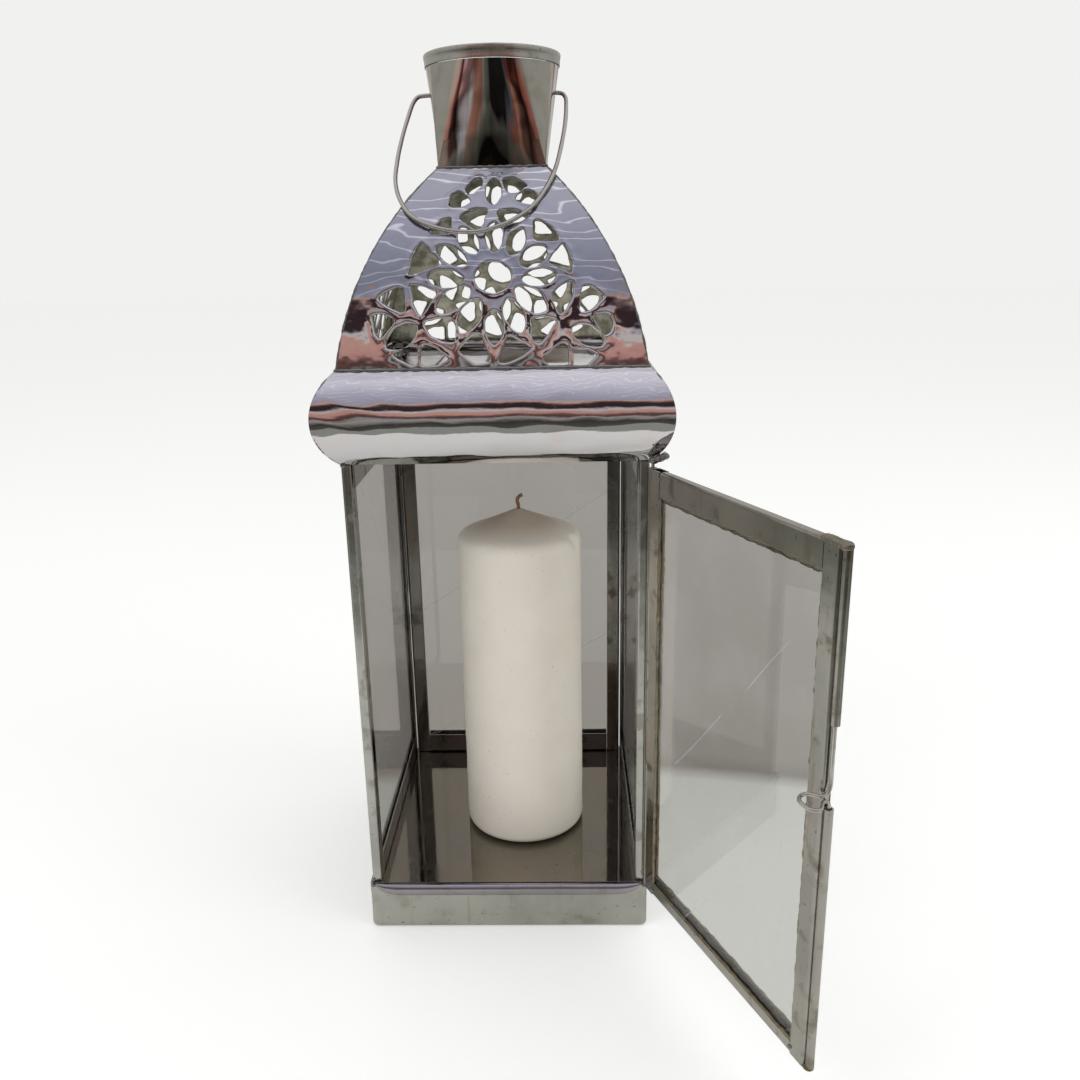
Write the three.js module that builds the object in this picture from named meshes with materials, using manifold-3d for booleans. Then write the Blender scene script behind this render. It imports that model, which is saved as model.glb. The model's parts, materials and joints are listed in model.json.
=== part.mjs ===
// Glazed candle lantern: shallow sheet base, channel-framed glass walls, half-round cornice,
// pierced four-sided dome, square-to-round chimney, wire handle and a framed glass door.
// Units are millimetres, +Z is up, the origin is the middle of the base's underside and the
// doorway faces -Y. The door stands open.
import * as THREE from 'three';
import Module from 'manifold-3d';
import { mergeVertices } from 'three/addons/utils/BufferGeometryUtils.js';

const wasm = await Module();
wasm.setup();

// ---------- driving dimensions ----------
const GAP = 0.3;                 // clearance between neighbouring pieces
const SHEET = 0.8;               // thickness of the folded sheet

const BASE = { half: 66.5, top: 23.6, cornerRadius: 3 };
const FLOOR = { top: 24.7, half: 66, cornerRadius: 2.5 };
const SILL = { back: 66.8, proud: 2.4, low: 18.5, high: 24.6, halfLength: 63.5, taper: 13 };

const BODY_HALF = 65;            // outside of the glazed walls
const BODY = { low: 25, high: 228.6 };
const CHANNEL = { depth: 4.5, sheet: 0.7, round: 1.2 };
const STILE_FLANGE = 7;
const WALL_RAIL = { inner: 11, outer: 12.5 };
const GLASS_THICKNESS = 2;

const HINGE = { x: 66, y: -68, openDegrees: 114.5 };
const DOOR = { low: 25.7, high: 226.7, width: 121, hingeTube: 1.9, freeTube: 1.65, tubeBite: 0.3 };
const DOOR_FLANGE = { stile: 7.4, top: [10.4, 12.2], bottom: [5.2, 9.2] };
const WIRE = { radius: 0.7, bore: 1.05 };
const LATCH = { low: 134, high: 165, loopZ: 138.4, reach: 11, halfWidth: 4.2, tail: 24 };

const CORNICE = { centre: 50.2, z: 248.5, radius: 24.3, flangeHalf: 61, low: 228.9, high: 267.9 };
const DOME = { centre: -72, z: 248.9, radius: 137.5, sheet: 1.2, low: 268.3, high: 348 };
const CHIMNEY = { half: 23, low: 348.4, topRadius: 28.9, high: 389.6, flatAngle: 25 };
const RIM = { inner: 28.2, outer: 29.8, low: 389.9, high: 395 };
const BAIL = { radius: 0.9, hole: 1.4, pivotZ: 379.5, leanDegrees: 40 };

const CANDLE = { radius: 30.3, x: 6.7, y: -5.9, low: 25, shoulder: 177, apex: 194, edge: 1.2 };
const WICK = { radius: 0.9, length: 6 };
const GUSSET = 10;

// Rosettes of the pierced panels: centre across the panel, and height up its curved face. A petal
// is a pointed hole along a spoke, and a gap is a three-cornered one out to the rosette's rim.
const MAIN_ROSETTE = {
  x: 0.5, s: 36.5, count: 12, eye: 6.7,
  petal: { from: 12, to: 25, width: 6 }, gap: { from: 21.5, to: 31.3, half: 11.4 },
};
const CORNER_ROSETTE = {
  x: 31.5, s: 20.5,
  petal: { at: -52, from: 3.5, to: 15.5, width: 6 },
  gaps: [
    { at: 38, from: 5, to: 16.8, half: 20 }, { at: -12, from: 7, to: 16.8, half: 18 },
    { at: -86, from: 7, to: 18.3, half: 15 },
  ],
};
const TOP_ROSETTE = {
  x: 0.5, s: 69.4,
  petal: { at: 90, from: 3.5, to: 14.5, width: 5 },
  gaps: [18, 54, 126, 162].map((at) => ({ at, from: 6, to: 15.7, half: 13 })),
};

// ---------- materials ----------
const finish = (color, roughness, metalness = 1) =>
  new THREE.MeshStandardMaterial({ color, roughness, metalness });
const pewter = () => finish('#8c8c86', 0.42);
const plated = () => finish('#b4b0b8', 0.16);
const wireFinish = () => finish('#9a968c', 0.3);
const pane = () => {
  const glass = finish('#c9cdc8', 0.05, 0);
  glass.transparent = true;
  glass.opacity = 0.25;
  return glass;
};

const lantern = new THREE.Group();

function add(parent, name, geometry, material) {
  const mesh = new THREE.Mesh(geometry, material);
  mesh.name = name;
  parent.add(mesh);
  return mesh;
}

// ---------- joining and cutting ----------
function solid(geometry) {
  const bare = geometry.clone();
  bare.deleteAttribute('normal');
  bare.deleteAttribute('uv');
  const merged = mergeVertices(bare, 1e-4);
  return new wasm.Manifold(new wasm.Mesh({
    numProp: 3,
    vertProperties: Float32Array.from(merged.attributes.position.array),
    triVerts: Uint32Array.from(merged.index.array),
  }));
}

function surface(manifold) {
  const mesh = manifold.getMesh();
  const geometry = new THREE.BufferGeometry();
  geometry.setAttribute('position', new THREE.BufferAttribute(mesh.vertProperties, 3));
  geometry.setIndex(new THREE.BufferAttribute(mesh.triVerts, 1));
  return geometry;
}

function cut(geometry, tools) {
  return surface(tools.reduce((body, tool) => body.subtract(solid(tool)), solid(geometry)));
}

function join(geometries) {
  const [first, ...rest] = geometries.map(solid);
  return surface(rest.reduce((body, piece) => body.add(piece), first));
}

// ---------- shape helpers ----------
const outline = (points) => new THREE.Shape(points.map(([x, y]) => new THREE.Vector2(x, y)));

function extrude(shape, depth, curveSegments = 4) {
  return new THREE.ExtrudeGeometry(shape, { depth, bevelEnabled: false, curveSegments });
}

// Extrudes a profile drawn in (p, q) along p x q, from the point given.
function bar(shape, length, start, p, q, curveSegments = 3) {
  const geometry = extrude(shape, length, curveSegments);
  const along = new THREE.Vector3().crossVectors(p, q);
  const basis = new THREE.Matrix4().makeBasis(p, q, along).setPosition(start);
  return geometry.applyMatrix4(basis);
}

function box(low, high) {
  const size = high.map((value, i) => value - low[i]);
  const geometry = new THREE.BoxGeometry(...size);
  return geometry.translate(...high.map((value, i) => (value + low[i]) / 2));
}

function disc(radius, segments = 12) {
  const points = [];
  for (let i = 0; i < segments; i++) {
    const angle = (2 * Math.PI * i) / segments;
    points.push([radius * Math.cos(angle), radius * Math.sin(angle)]);
  }
  return outline(points);
}

function wire(points, radius, steps) {
  const path = new THREE.CatmullRomCurve3(points, false, 'centripetal');
  return new THREE.ExtrudeGeometry(disc(radius, 8), { steps, extrudePath: path });
}

function roundedSquare(half, radius) {
  const shape = new THREE.Shape();
  const inner = half - radius;
  shape.absarc(inner, inner, radius, 0, Math.PI / 2);
  shape.absarc(-inner, inner, radius, Math.PI / 2, Math.PI);
  shape.absarc(-inner, -inner, radius, Math.PI, 1.5 * Math.PI);
  shape.absarc(inner, -inner, radius, 1.5 * Math.PI, 2 * Math.PI);
  return shape;
}

// Closes a run of equal rings of points, listed one after another, into one solid.
function skin(positions, rings, count) {
  const index = [];
  for (let r = 0; r + 1 < rings; r++) {
    for (let i = 0; i < count; i++) {
      const [a, b] = [r * count + i, r * count + ((i + 1) % count)];
      index.push(a, a + count, b + count, a, b + count, b);
    }
  }
  const last = (rings - 1) * count;
  for (let i = 1; i + 1 < count; i++) {
    index.push(0, i, i + 1, last, last + i + 1, last + i);
  }
  const geometry = new THREE.BufferGeometry();
  geometry.setAttribute('position', new THREE.Float32BufferAttribute(positions, 3));
  geometry.setIndex(index);
  return geometry;
}

const squareShape = (half) => outline([[-half, -half], [half, -half], [half, half], [-half, half]]);

// ---------- base ----------
// A pan folded from one sheet, closed underneath; the floor plate is its lid.
function baseTray() {
  const body = extrude(roundedSquare(BASE.half, BASE.cornerRadius), BASE.top, 4);
  const hollow = extrude(roundedSquare(BASE.half - SHEET, BASE.cornerRadius - SHEET), BASE.top, 4)
    .translate(0, 0, SHEET);
  return cut(body, [hollow]);
}

// The front edge of the floor rolled over the tray's wall: a half-round bead that dies out to a
// point at each corner, with its top edge level.
function sillBead() {
  const { back, proud, low, high, halfLength, taper } = SILL;
  const stations = [0, 0.06, 0.2, 0.45, 1].map((part) => halfLength - taper * part);
  const lengths = [...stations.map((x) => -x), ...stations.reverse()];
  const sections = 9;
  const positions = [];
  for (const x of lengths) {
    const part = (halfLength - Math.abs(x)) / taper;
    const scale = Math.max(0.12, Math.sqrt(1 - (1 - part) ** 2));
    const rise = (scale * (high - low)) / 2;
    for (let i = 0; i < sections; i++) {
      const angle = Math.PI * (i / (sections - 1) - 0.5);
      positions.push(x, -back - scale * proud * Math.cos(angle), high - rise + rise * Math.sin(angle));
    }
  }
  return skin(positions, lengths.length, sections);
}

add(lantern, 'base_tray', baseTray(), pewter());
add(lantern, 'floor_plate', extrude(roundedSquare(FLOOR.half, FLOOR.cornerRadius), SHEET)
  .translate(0, 0, FLOOR.top - SHEET), finish('#4a4844', 0.22));
add(lantern, 'sill_bead', sillBead(), plated());

// ---------- channel frames ----------
// p runs from the outer edge towards the pane, q from the outside to the inside.
function channelProfile(innerFlange, outerFlange) {
  const { depth, sheet, round } = CHANNEL;
  const face = depth / 2;
  const shape = new THREE.Shape();
  shape.moveTo(outerFlange, -face + sheet);
  shape.lineTo(sheet, -face + sheet);
  shape.lineTo(sheet, face - sheet);
  shape.lineTo(innerFlange, face - sheet);
  shape.lineTo(innerFlange, face);
  shape.lineTo(round, face);
  shape.absarc(round, face - round, round, Math.PI / 2, Math.PI);
  shape.absarc(round, -face + round, round, Math.PI, 1.5 * Math.PI);
  shape.lineTo(outerFlange, -face);
  return shape;
}

// A length of channel from one end to the other; the profile is mirrored where p x q points back.
function channel(flanges, from, to, p, q) {
  const along = new THREE.Vector3().subVectors(to, from);
  const forward = new THREE.Vector3().crossVectors(p, q).dot(along) > 0;
  return bar(channelProfile(...flanges), along.length(), forward ? from : to, p, q);
}

// One glazed frame in the plane through `at`, spanning u0..u1 along `side` and z0..z1 upwards.
function frameMembers({ at, side, inward, u, z, stiles, top, bottom }) {
  const up = new THREE.Vector3(0, 0, 1);
  const down = up.clone().negate();
  const back = side.clone().negate();
  const point = (along, height) => at.clone().addScaledVector(side, along).setZ(height);
  const [u0, u1] = u;
  const [z0, z1] = z;
  const flanges = [stiles, stiles];
  const [r0, r1] = [u0 + stiles + GAP, u1 - stiles - GAP];
  const edge = CHANNEL.sheet + GAP;
  const paneLow = point(u0 + edge, z0 + edge).addScaledVector(inward, -GLASS_THICKNESS / 2);
  const paneHigh = point(u1 - edge, z1 - edge).addScaledVector(inward, GLASS_THICKNESS / 2);
  const corners = new THREE.Box3().setFromPoints([paneLow, paneHigh]);
  return {
    stileA: channel(flanges, point(u0, z0), point(u0, z1), side, inward),
    stileB: channel(flanges, point(u1, z0), point(u1, z1), back, inward),
    bottomRail: channel(bottom, point(r0, z0), point(r1, z0), up, inward),
    topRail: channel(top, point(r0, z1), point(r1, z1), down, inward),
    pane: box(corners.min.toArray(), corners.max.toArray()),
  };
}

const MID_WALL = BODY_HALF - CHANNEL.depth / 2;
const rails = [WALL_RAIL.inner, WALL_RAIL.outer];
const backSpan = BODY_HALF - CHANNEL.depth - GAP;
const X = new THREE.Vector3(1, 0, 0);
const Y = new THREE.Vector3(0, 1, 0);
const walls = {
  left: { at: X.clone().multiplyScalar(-MID_WALL), side: Y, inward: X, span: BODY_HALF },
  right: { at: X.clone().multiplyScalar(MID_WALL), side: Y, inward: X.clone().negate(), span: BODY_HALF },
  back: { at: Y.clone().multiplyScalar(MID_WALL), side: X, inward: Y.clone().negate(), span: backSpan },
};
for (const [name, wall] of Object.entries(walls)) {
  const members = frameMembers({
    ...wall, u: [-wall.span, wall.span], z: [BODY.low, BODY.high],
    stiles: STILE_FLANGE, top: rails, bottom: rails,
  });
  const [a, b] = name === 'back' ? ['left', 'right'] : ['front', 'rear'];
  add(lantern, `${name}_wall_${a}_stile`, members.stileA, pewter());
  add(lantern, `${name}_wall_${b}_stile`, members.stileB, pewter());
  add(lantern, `${name}_wall_bottom_rail`, members.bottomRail, pewter());
  add(lantern, `${name}_wall_top_rail`, members.topRail, pewter());
  add(lantern, `${name}_glass`, members.pane, pane());
}

// Three-cornered plates soldered inside the side walls' upper front corners.
for (const [name, sign] of [['left_gusset', -1], ['right_gusset', 1]]) {
  const front = -BODY_HALF + 0.6;
  const top = BODY.high;
  const plate = outline([[front, top - GUSSET], [front, top], [front + GUSSET, top]]);
  const inside = BODY_HALF - CHANNEL.depth - GAP;
  const start = new THREE.Vector3(sign > 0 ? inside - SHEET : -inside, 0, 0);
  add(lantern, name, bar(plate, SHEET, start, Y, new THREE.Vector3(0, 0, 1)), pewter());
}

// ---------- door ----------
// Built shut about its hinge axis, running along -X, and then swung open.
const door = new THREE.Group();
door.position.set(HINGE.x, HINGE.y, 0);
door.rotation.z = THREE.MathUtils.degToRad(HINGE.openDegrees);
lantern.add(door);

function tube(radius, x, low, high) {
  return extrude(disc(radius, 14), high - low).translate(x, 0, low);
}

function buildDoor() {
  const hingeEdge = -(DOOR.hingeTube - DOOR.tubeBite);
  const freeEdge = -(DOOR.width - DOOR.freeTube + DOOR.tubeBite);
  const members = frameMembers({
    at: new THREE.Vector3(), side: X, inward: Y, u: [freeEdge, hingeEdge],
    z: [DOOR.low, DOOR.high], stiles: DOOR_FLANGE.stile,
    top: DOOR_FLANGE.top, bottom: DOOR_FLANGE.bottom,
  });
  const bore = (x) => tube(WIRE.bore, x, DOOR.low - 1, DOOR.high + 1);
  const hingeTube = tube(DOOR.hingeTube, 0, DOOR.low, DOOR.high);
  const freeTube = tube(DOOR.freeTube, -DOOR.width, DOOR.low, DOOR.high);
  const window = box(
    [-DOOR.width - 3, -3, LATCH.low],
    [freeEdge - 0.05, 3, LATCH.high],
  );
  add(door, 'door_hinge_stile', cut(join([members.stileB, hingeTube]), [bore(0)]), pewter());
  add(door, 'door_free_stile',
    cut(join([members.stileA, freeTube]), [bore(-DOOR.width), window]), pewter());
  add(door, 'door_bottom_rail', members.bottomRail, pewter());
  add(door, 'door_top_rail', members.topRail, plated());
  add(door, 'door_glass', members.pane, pane());
}

function latchWire() {
  const { loopZ, reach, halfWidth, tail } = LATCH;
  const at = (x, y, z) => new THREE.Vector3(x - DOOR.width, y, z);
  return wire([
    at(0, 0, LATCH.high + tail), at(0, 0, LATCH.high), at(0, 0, loopZ + 12), at(0, 0, loopZ + 4),
    at(0, 1, loopZ + 1.6), at(0.3, 3.4, loopZ + 1),
    at(halfWidth * 0.8, 0.55 * reach, loopZ + 0.9), at(halfWidth, 0.75 * reach, loopZ + 0.6),
    at(halfWidth * 0.7, 0.94 * reach, loopZ + 0.3), at(0, reach, loopZ),
    at(-halfWidth * 0.7, 0.94 * reach, loopZ - 0.3), at(-halfWidth, 0.75 * reach, loopZ - 0.6),
    at(-halfWidth * 0.8, 0.55 * reach, loopZ - 0.9), at(-0.6, 3.2, loopZ - 1),
    at(0, 1, loopZ - 1.5), at(0, 0, loopZ - 3.2), at(0, 0, loopZ - 4.4), at(0, 0, loopZ - 12),
    at(0, 0, loopZ - tail),
  ], WIRE.radius, 84);
}

buildDoor();
add(door, 'latch_wire', latchWire(), wireFinish());

const hingePoint = (dx, dy, z) => new THREE.Vector3(HINGE.x + dx, HINGE.y + dy, z);
add(lantern, 'hinge_wire', wire([
  hingePoint(0, 0, FLOOR.top + 0.5), hingePoint(0, 0, 90), hingePoint(0, 0, 160),
  hingePoint(0, 0, 227), hingePoint(0, 0, 228.4), hingePoint(0.7, -0.8, 230.1),
  hingePoint(2.5, -2.6, 231.9), hingePoint(4.6, -4.6, 233.8),
], WIRE.radius, 40), wireFinish());

// ---------- mitred mouldings ----------
// A quarter of a square ring: the profile is (half-width, height) and its ends are mitred.
function mitred(profile) {
  const contour = profile.map(([h, z]) => new THREE.Vector2(h, z));
  const count = profile.length;
  const positions = [];
  for (const side of [-1, 1]) {
    for (const [h, z] of profile) positions.push(side * (h - GAP / 2), -h, z);
  }
  const index = [];
  for (let i = 0; i < count; i++) {
    const j = (i + 1) % count;
    index.push(i, count + i, count + j, i, count + j, j);
  }
  for (const [a, b, c] of THREE.ShapeUtils.triangulateShape(contour, [])) {
    index.push(a, b, c, count + a, count + c, count + b);
  }
  const geometry = new THREE.BufferGeometry();
  geometry.setAttribute('position', new THREE.Float32BufferAttribute(positions, 3));
  geometry.setIndex(index);
  return geometry;
}

function arc({ centre, z }, radius, fromDegrees, toDegrees, steps) {
  const points = [];
  for (let i = 0; i <= steps; i++) {
    const angle = THREE.MathUtils.degToRad(fromDegrees + ((toDegrees - fromDegrees) * i) / steps);
    points.push([centre + radius * Math.cos(angle), z + radius * Math.sin(angle)]);
  }
  return points;
}

function corniceProfile() {
  const { radius, z, low, high, flangeHalf } = CORNICE;
  const inner = radius - SHEET;
  const angle = (height, r) => THREE.MathUtils.radToDeg(Math.asin((height - z) / r));
  return [
    [flangeHalf, low],
    ...arc(CORNICE, radius, angle(low, radius), angle(high, radius), 12),
    [flangeHalf, high], [flangeHalf, high - SHEET],
    ...arc(CORNICE, inner, angle(high - SHEET, inner), angle(low + SHEET, inner), 12),
    [flangeHalf, low + SHEET],
  ];
}

const SIDES = [['front', 0], ['right', 90], ['back', 180], ['left', 270]];

for (const [name, degrees] of SIDES) {
  const moulding = add(lantern, `cornice_${name}`, mitred(corniceProfile()), plated());
  moulding.rotation.z = THREE.MathUtils.degToRad(degrees);
}

// ---------- pierced dome ----------
const domeAngle = (z, radius = DOME.radius) =>
  THREE.MathUtils.radToDeg(Math.asin((z - DOME.z) / radius));
const DOME_FOOT = THREE.MathUtils.degToRad(domeAngle(268));
const heightUpFace = (s) => DOME.z + DOME.radius * Math.sin(DOME_FOOT + s / DOME.radius);

function domeProfile() {
  const { radius, sheet, low, high } = DOME;
  const inner = radius - sheet;
  return [
    ...arc(DOME, radius, domeAngle(low), domeAngle(high), 9),
    ...arc(DOME, inner, domeAngle(high, inner), domeAngle(low, inner), 9),
  ];
}

const polar = ({ x, s }, radius, degrees) => {
  const angle = THREE.MathUtils.degToRad(degrees);
  return [x + radius * Math.cos(angle), s + radius * Math.sin(angle)];
};

// A pointed leaf along the spoke at `degrees`, widest over its middle 3 mm.
function petalHole(centre, { from, to, width }, degrees) {
  const middle = (from + to) / 2;
  const spread = THREE.MathUtils.radToDeg(Math.atan(width / 2 / middle));
  return [
    polar(centre, from, degrees), polar(centre, middle - 1.5, degrees - spread),
    polar(centre, middle + 1.5, degrees - spread), polar(centre, to, degrees),
    polar(centre, middle + 1.5, degrees + spread), polar(centre, middle - 1.5, degrees + spread),
  ];
}

// The three-cornered gap between two spokes, closed by the rosette's rounded rim.
function gapHole(centre, { from, to, half }, degrees) {
  return [
    polar(centre, from, degrees), polar(centre, to, degrees - half),
    polar(centre, to + 0.8, degrees), polar(centre, to, degrees + half),
  ];
}

function eyeHole(centre, radius, sides = 10) {
  return Array.from({ length: sides }, (_, i) => polar(centre, radius, (360 / sides) * i));
}

function piercing() {
  const { count, eye, petal, gap } = MAIN_ROSETTE;
  const step = 360 / count;
  const holes = [eyeHole(MAIN_ROSETTE, eye)];
  for (let i = 0; i < count; i++) {
    holes.push(petalHole(MAIN_ROSETTE, petal, step * i));
    holes.push(gapHole(MAIN_ROSETTE, gap, step * (i + 0.5)));
  }
  for (const side of [-1, 1]) {
    const centre = { x: side * CORNER_ROSETTE.x, s: CORNER_ROSETTE.s };
    const mirror = (degrees) => (side > 0 ? degrees : 180 - degrees);
    holes.push(petalHole(centre, CORNER_ROSETTE.petal, mirror(CORNER_ROSETTE.petal.at)));
    for (const corner of CORNER_ROSETTE.gaps) holes.push(gapHole(centre, corner, mirror(corner.at)));
  }
  holes.push(petalHole(TOP_ROSETTE, TOP_ROSETTE.petal, TOP_ROSETTE.petal.at));
  for (const top of TOP_ROSETTE.gaps) holes.push(gapHole(TOP_ROSETTE, top, top.at));
  return holes;
}

function holePrism(points) {
  const shape = outline(points.map(([x, s]) => [x, heightUpFace(s)]));
  const across = new THREE.Vector3(1, 0, 0);
  const up = new THREE.Vector3(0, 0, 1);
  return bar(shape, 60, new THREE.Vector3(0, -15, 0), across, up);
}

const piercedPanel = cut(mitred(domeProfile()), piercing().map(holePrism));
for (const [name, degrees] of SIDES) {
  const panel = add(lantern, `dome_${name}`, piercedPanel.clone(), plated());
  panel.rotation.z = THREE.MathUtils.degToRad(degrees);
}

// ---------- chimney ----------
// Ruled from a square foot to a round mouth: each side stays nearly flat between
// -flatAngle and +flatAngle, and a fan joins each foot corner to the arc beside it.
function chimneyRing(half, radius) {
  const foot = [];
  const mouth = [];
  for (let side = 0; side < 4; side++) {
    const turn = THREE.MathUtils.degToRad(90 * side - 90);
    const place = (x, y) => [
      x * Math.cos(turn) - y * Math.sin(turn), x * Math.sin(turn) + y * Math.cos(turn),
    ];
    const flats = [-1, -0.5, 0, 0.5, 1];
    for (const part of flats) {
      const angle = THREE.MathUtils.degToRad(part * CHIMNEY.flatAngle);
      foot.push(place(half, part * half));
      mouth.push(place(radius * Math.cos(angle), radius * Math.sin(angle)));
    }
    for (let i = 1; i < 4; i++) {
      const angle = THREE.MathUtils.degToRad(CHIMNEY.flatAngle + (i * (90 - 2 * CHIMNEY.flatAngle)) / 4);
      foot.push(place(half, half));
      mouth.push(place(radius * Math.cos(angle), radius * Math.sin(angle)));
    }
  }
  return { foot, mouth };
}

function chimneyShell() {
  const outer = chimneyRing(CHIMNEY.half, CHIMNEY.topRadius);
  const inner = chimneyRing(CHIMNEY.half - SHEET, CHIMNEY.topRadius - SHEET);
  const rings = [
    [outer.foot, CHIMNEY.low], [outer.mouth, CHIMNEY.high],
    [inner.mouth, CHIMNEY.high], [inner.foot, CHIMNEY.low],
  ];
  const count = outer.foot.length;
  const positions = rings.flatMap(([ring, z]) => ring.flatMap(([x, y]) => [x, y, z]));
  const index = [];
  for (let r = 0; r < rings.length; r++) {
    const next = (r + 1) % rings.length;
    for (let i = 0; i < count; i++) {
      const j = (i + 1) % count;
      const [a, b, c, d] = [r * count + i, r * count + j, next * count + j, next * count + i];
      index.push(a, b, c, a, c, d);
    }
  }
  const geometry = new THREE.BufferGeometry();
  geometry.setAttribute('position', new THREE.Float32BufferAttribute(positions, 3));
  geometry.setIndex(index);
  const hole = bar(disc(BAIL.hole, 10), 80, new THREE.Vector3(-40, 0, BAIL.pivotZ), Y,
    new THREE.Vector3(0, 0, 1));
  return cut(geometry, [hole]);
}

function chimneyRim() {
  const { inner, outer, low, high } = RIM;
  const round = (outer - inner) / 2;
  const profile = [
    [inner, low], [outer - 0.3, low], [outer, high - round], [outer - 0.25, high - 0.25],
    [inner + round, high], [inner + 0.2, high - 0.3], [inner, high - round], [inner, low],
  ];
  const geometry = new THREE.LatheGeometry(profile.map(([r, z]) => new THREE.Vector2(r, z)), 40);
  return geometry.rotateX(Math.PI / 2);
}

add(lantern, 'chimney', chimneyShell(), plated());
add(lantern, 'chimney_rim', chimneyRim(), pewter());

// ---------- wire handle ----------
// Distances across, and down from the pivot line, with the loop leaning forward on the dome.
function bailWire() {
  const lean = THREE.MathUtils.degToRad(BAIL.leanDegrees);
  const bend = [
    [-24.5, 0], [-29.5, 0], [-32.8, 0.7], [-34.6, 3.4], [-36.8, 13], [-38.8, 25], [-40.1, 37.5],
    [-40.2, 48.5], [-37.9, 57.7], [-32.6, 66.6], [-23.9, 72.2], [-13.5, 75], [-5, 75.2],
    [2.2, 73.2], [9.6, 69.4], [17.3, 62.6], [22.6, 53.9], [26.6, 44], [29.6, 30], [31.5, 16],
    [31.9, 8], [31.7, 3], [30.4, 0.6], [28.4, 0], [24.5, 0],
  ];
  const points = bend.map(([x, down]) => new THREE.Vector3(
    x, -down * Math.sin(lean), BAIL.pivotZ - down * Math.cos(lean),
  ));
  return wire(points, BAIL.radius, 80);
}

add(lantern, 'bail', bailWire(), wireFinish());

// ---------- candle ----------
function candleBody() {
  const { radius, shoulder, apex, low, edge } = CANDLE;
  const profile = [
    [0, low], [radius - edge, low], [radius, low + edge], [radius, shoulder],
    [radius - edge, shoulder + 4.6], [radius - 3.5 * edge, shoulder + 7.4],
    [radius / 2, apex - 4.6], [6, apex - edge], [0, apex],
  ];
  const geometry = new THREE.LatheGeometry(profile.map(([r, z]) => new THREE.Vector2(r, z)), 40);
  return geometry.rotateX(Math.PI / 2).translate(CANDLE.x, CANDLE.y, 0);
}

add(lantern, 'candle', candleBody(), finish('#e6dccd', 0.5, 0));
add(lantern, 'wick', extrude(disc(WICK.radius, 8), WICK.length)
  .translate(CANDLE.x, CANDLE.y, CANDLE.apex + GAP), finish('#6b4a2c', 0.9, 0));

export default lantern;
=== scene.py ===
# %% [markdown]
# # A glazed candle lantern with a pierced dome
#
# The lantern is sheet metal, soft-soldered together: a shallow base, four glazed frames, a
# half-round cornice, a four-sided dome pierced like lace, and a square-to-round chimney. The
# working model already holds every size, so this lesson gives each sheet its real edge, its
# hand-made unevenness and its finish. Sizes come from the frame, in metres, +Z up.

# %% Load the frame
import json
import math

import bmesh
import bpy
import numpy as np
from mathutils import Matrix, Vector, noise
from mathutils.geometry import delaunay_2d_cdt


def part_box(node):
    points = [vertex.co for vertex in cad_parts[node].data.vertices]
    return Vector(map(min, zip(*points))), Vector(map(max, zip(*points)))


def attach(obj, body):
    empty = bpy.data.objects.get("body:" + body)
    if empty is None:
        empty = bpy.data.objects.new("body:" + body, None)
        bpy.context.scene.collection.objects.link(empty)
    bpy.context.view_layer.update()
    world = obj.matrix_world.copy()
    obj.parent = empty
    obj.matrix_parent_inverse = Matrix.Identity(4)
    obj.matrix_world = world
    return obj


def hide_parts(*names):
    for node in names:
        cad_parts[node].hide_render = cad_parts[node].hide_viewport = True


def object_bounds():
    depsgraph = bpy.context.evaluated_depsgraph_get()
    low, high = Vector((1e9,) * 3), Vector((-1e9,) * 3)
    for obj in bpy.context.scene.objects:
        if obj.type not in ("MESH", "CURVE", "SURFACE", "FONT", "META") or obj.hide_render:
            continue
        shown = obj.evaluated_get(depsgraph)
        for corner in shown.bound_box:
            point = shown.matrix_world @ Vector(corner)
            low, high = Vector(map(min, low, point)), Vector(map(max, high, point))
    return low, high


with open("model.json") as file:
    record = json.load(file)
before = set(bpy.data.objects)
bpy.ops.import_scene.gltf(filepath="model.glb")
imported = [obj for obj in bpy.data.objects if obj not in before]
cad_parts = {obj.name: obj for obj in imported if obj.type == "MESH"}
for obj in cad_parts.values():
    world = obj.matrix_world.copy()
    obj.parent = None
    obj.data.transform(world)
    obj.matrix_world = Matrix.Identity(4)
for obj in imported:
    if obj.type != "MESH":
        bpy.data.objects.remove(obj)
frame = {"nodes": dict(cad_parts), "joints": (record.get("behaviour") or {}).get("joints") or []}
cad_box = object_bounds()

MM = 0.001
scene = bpy.context.scene
print("nodes in the frame:", len(frame["nodes"]))

# %% [markdown]
# ## Camera
#
# The lantern is seen from a little above its handle, close by, so the verticals lean together.
# A camera needs a place, a direction and a lens. The direction is given as a pitch below the
# horizon, a small turn and a small roll, which read more easily than a matrix.

# %% The camera
LENS, SENSOR = 32.975, 36.0
CAMERA_PLACE = Vector((28.15, -470.81, 317.83)) * MM
PITCH, TURN, ROLL = math.radians(-16.84), -0.024, -0.019

camera = bpy.data.objects.new("camera", bpy.data.cameras.new("camera"))
scene.collection.objects.link(camera)
camera.data.lens, camera.data.sensor_width = LENS, SENSOR
camera.data.clip_start = 0.01
forward = Vector((math.sin(TURN) * math.cos(PITCH), math.cos(TURN) * math.cos(PITCH), math.sin(PITCH)))
level_right = forward.cross(Vector((0, 0, 1))).normalized()
level_up = level_right.cross(forward)
right = level_right * math.cos(ROLL) + level_up * math.sin(ROLL)
up = level_up * math.cos(ROLL) - level_right * math.sin(ROLL)
camera.matrix_world = Matrix((right, up, -forward)).transposed().to_4x4()
camera.matrix_world.translation = CAMERA_PLACE
scene.camera = camera
scene.view_settings.view_transform = "Standard"
print("camera pitch", round(math.degrees(PITCH), 2), "degrees, lens", LENS, "mm")

# %% [markdown]
# ## Two helpers
#
# Colours are picked as sRGB hex values, but shaders add up light, so one function turns them
# into linear values. A second one adds a node, sets it up and links it, and every material and
# node tree below is built with it.

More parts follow.
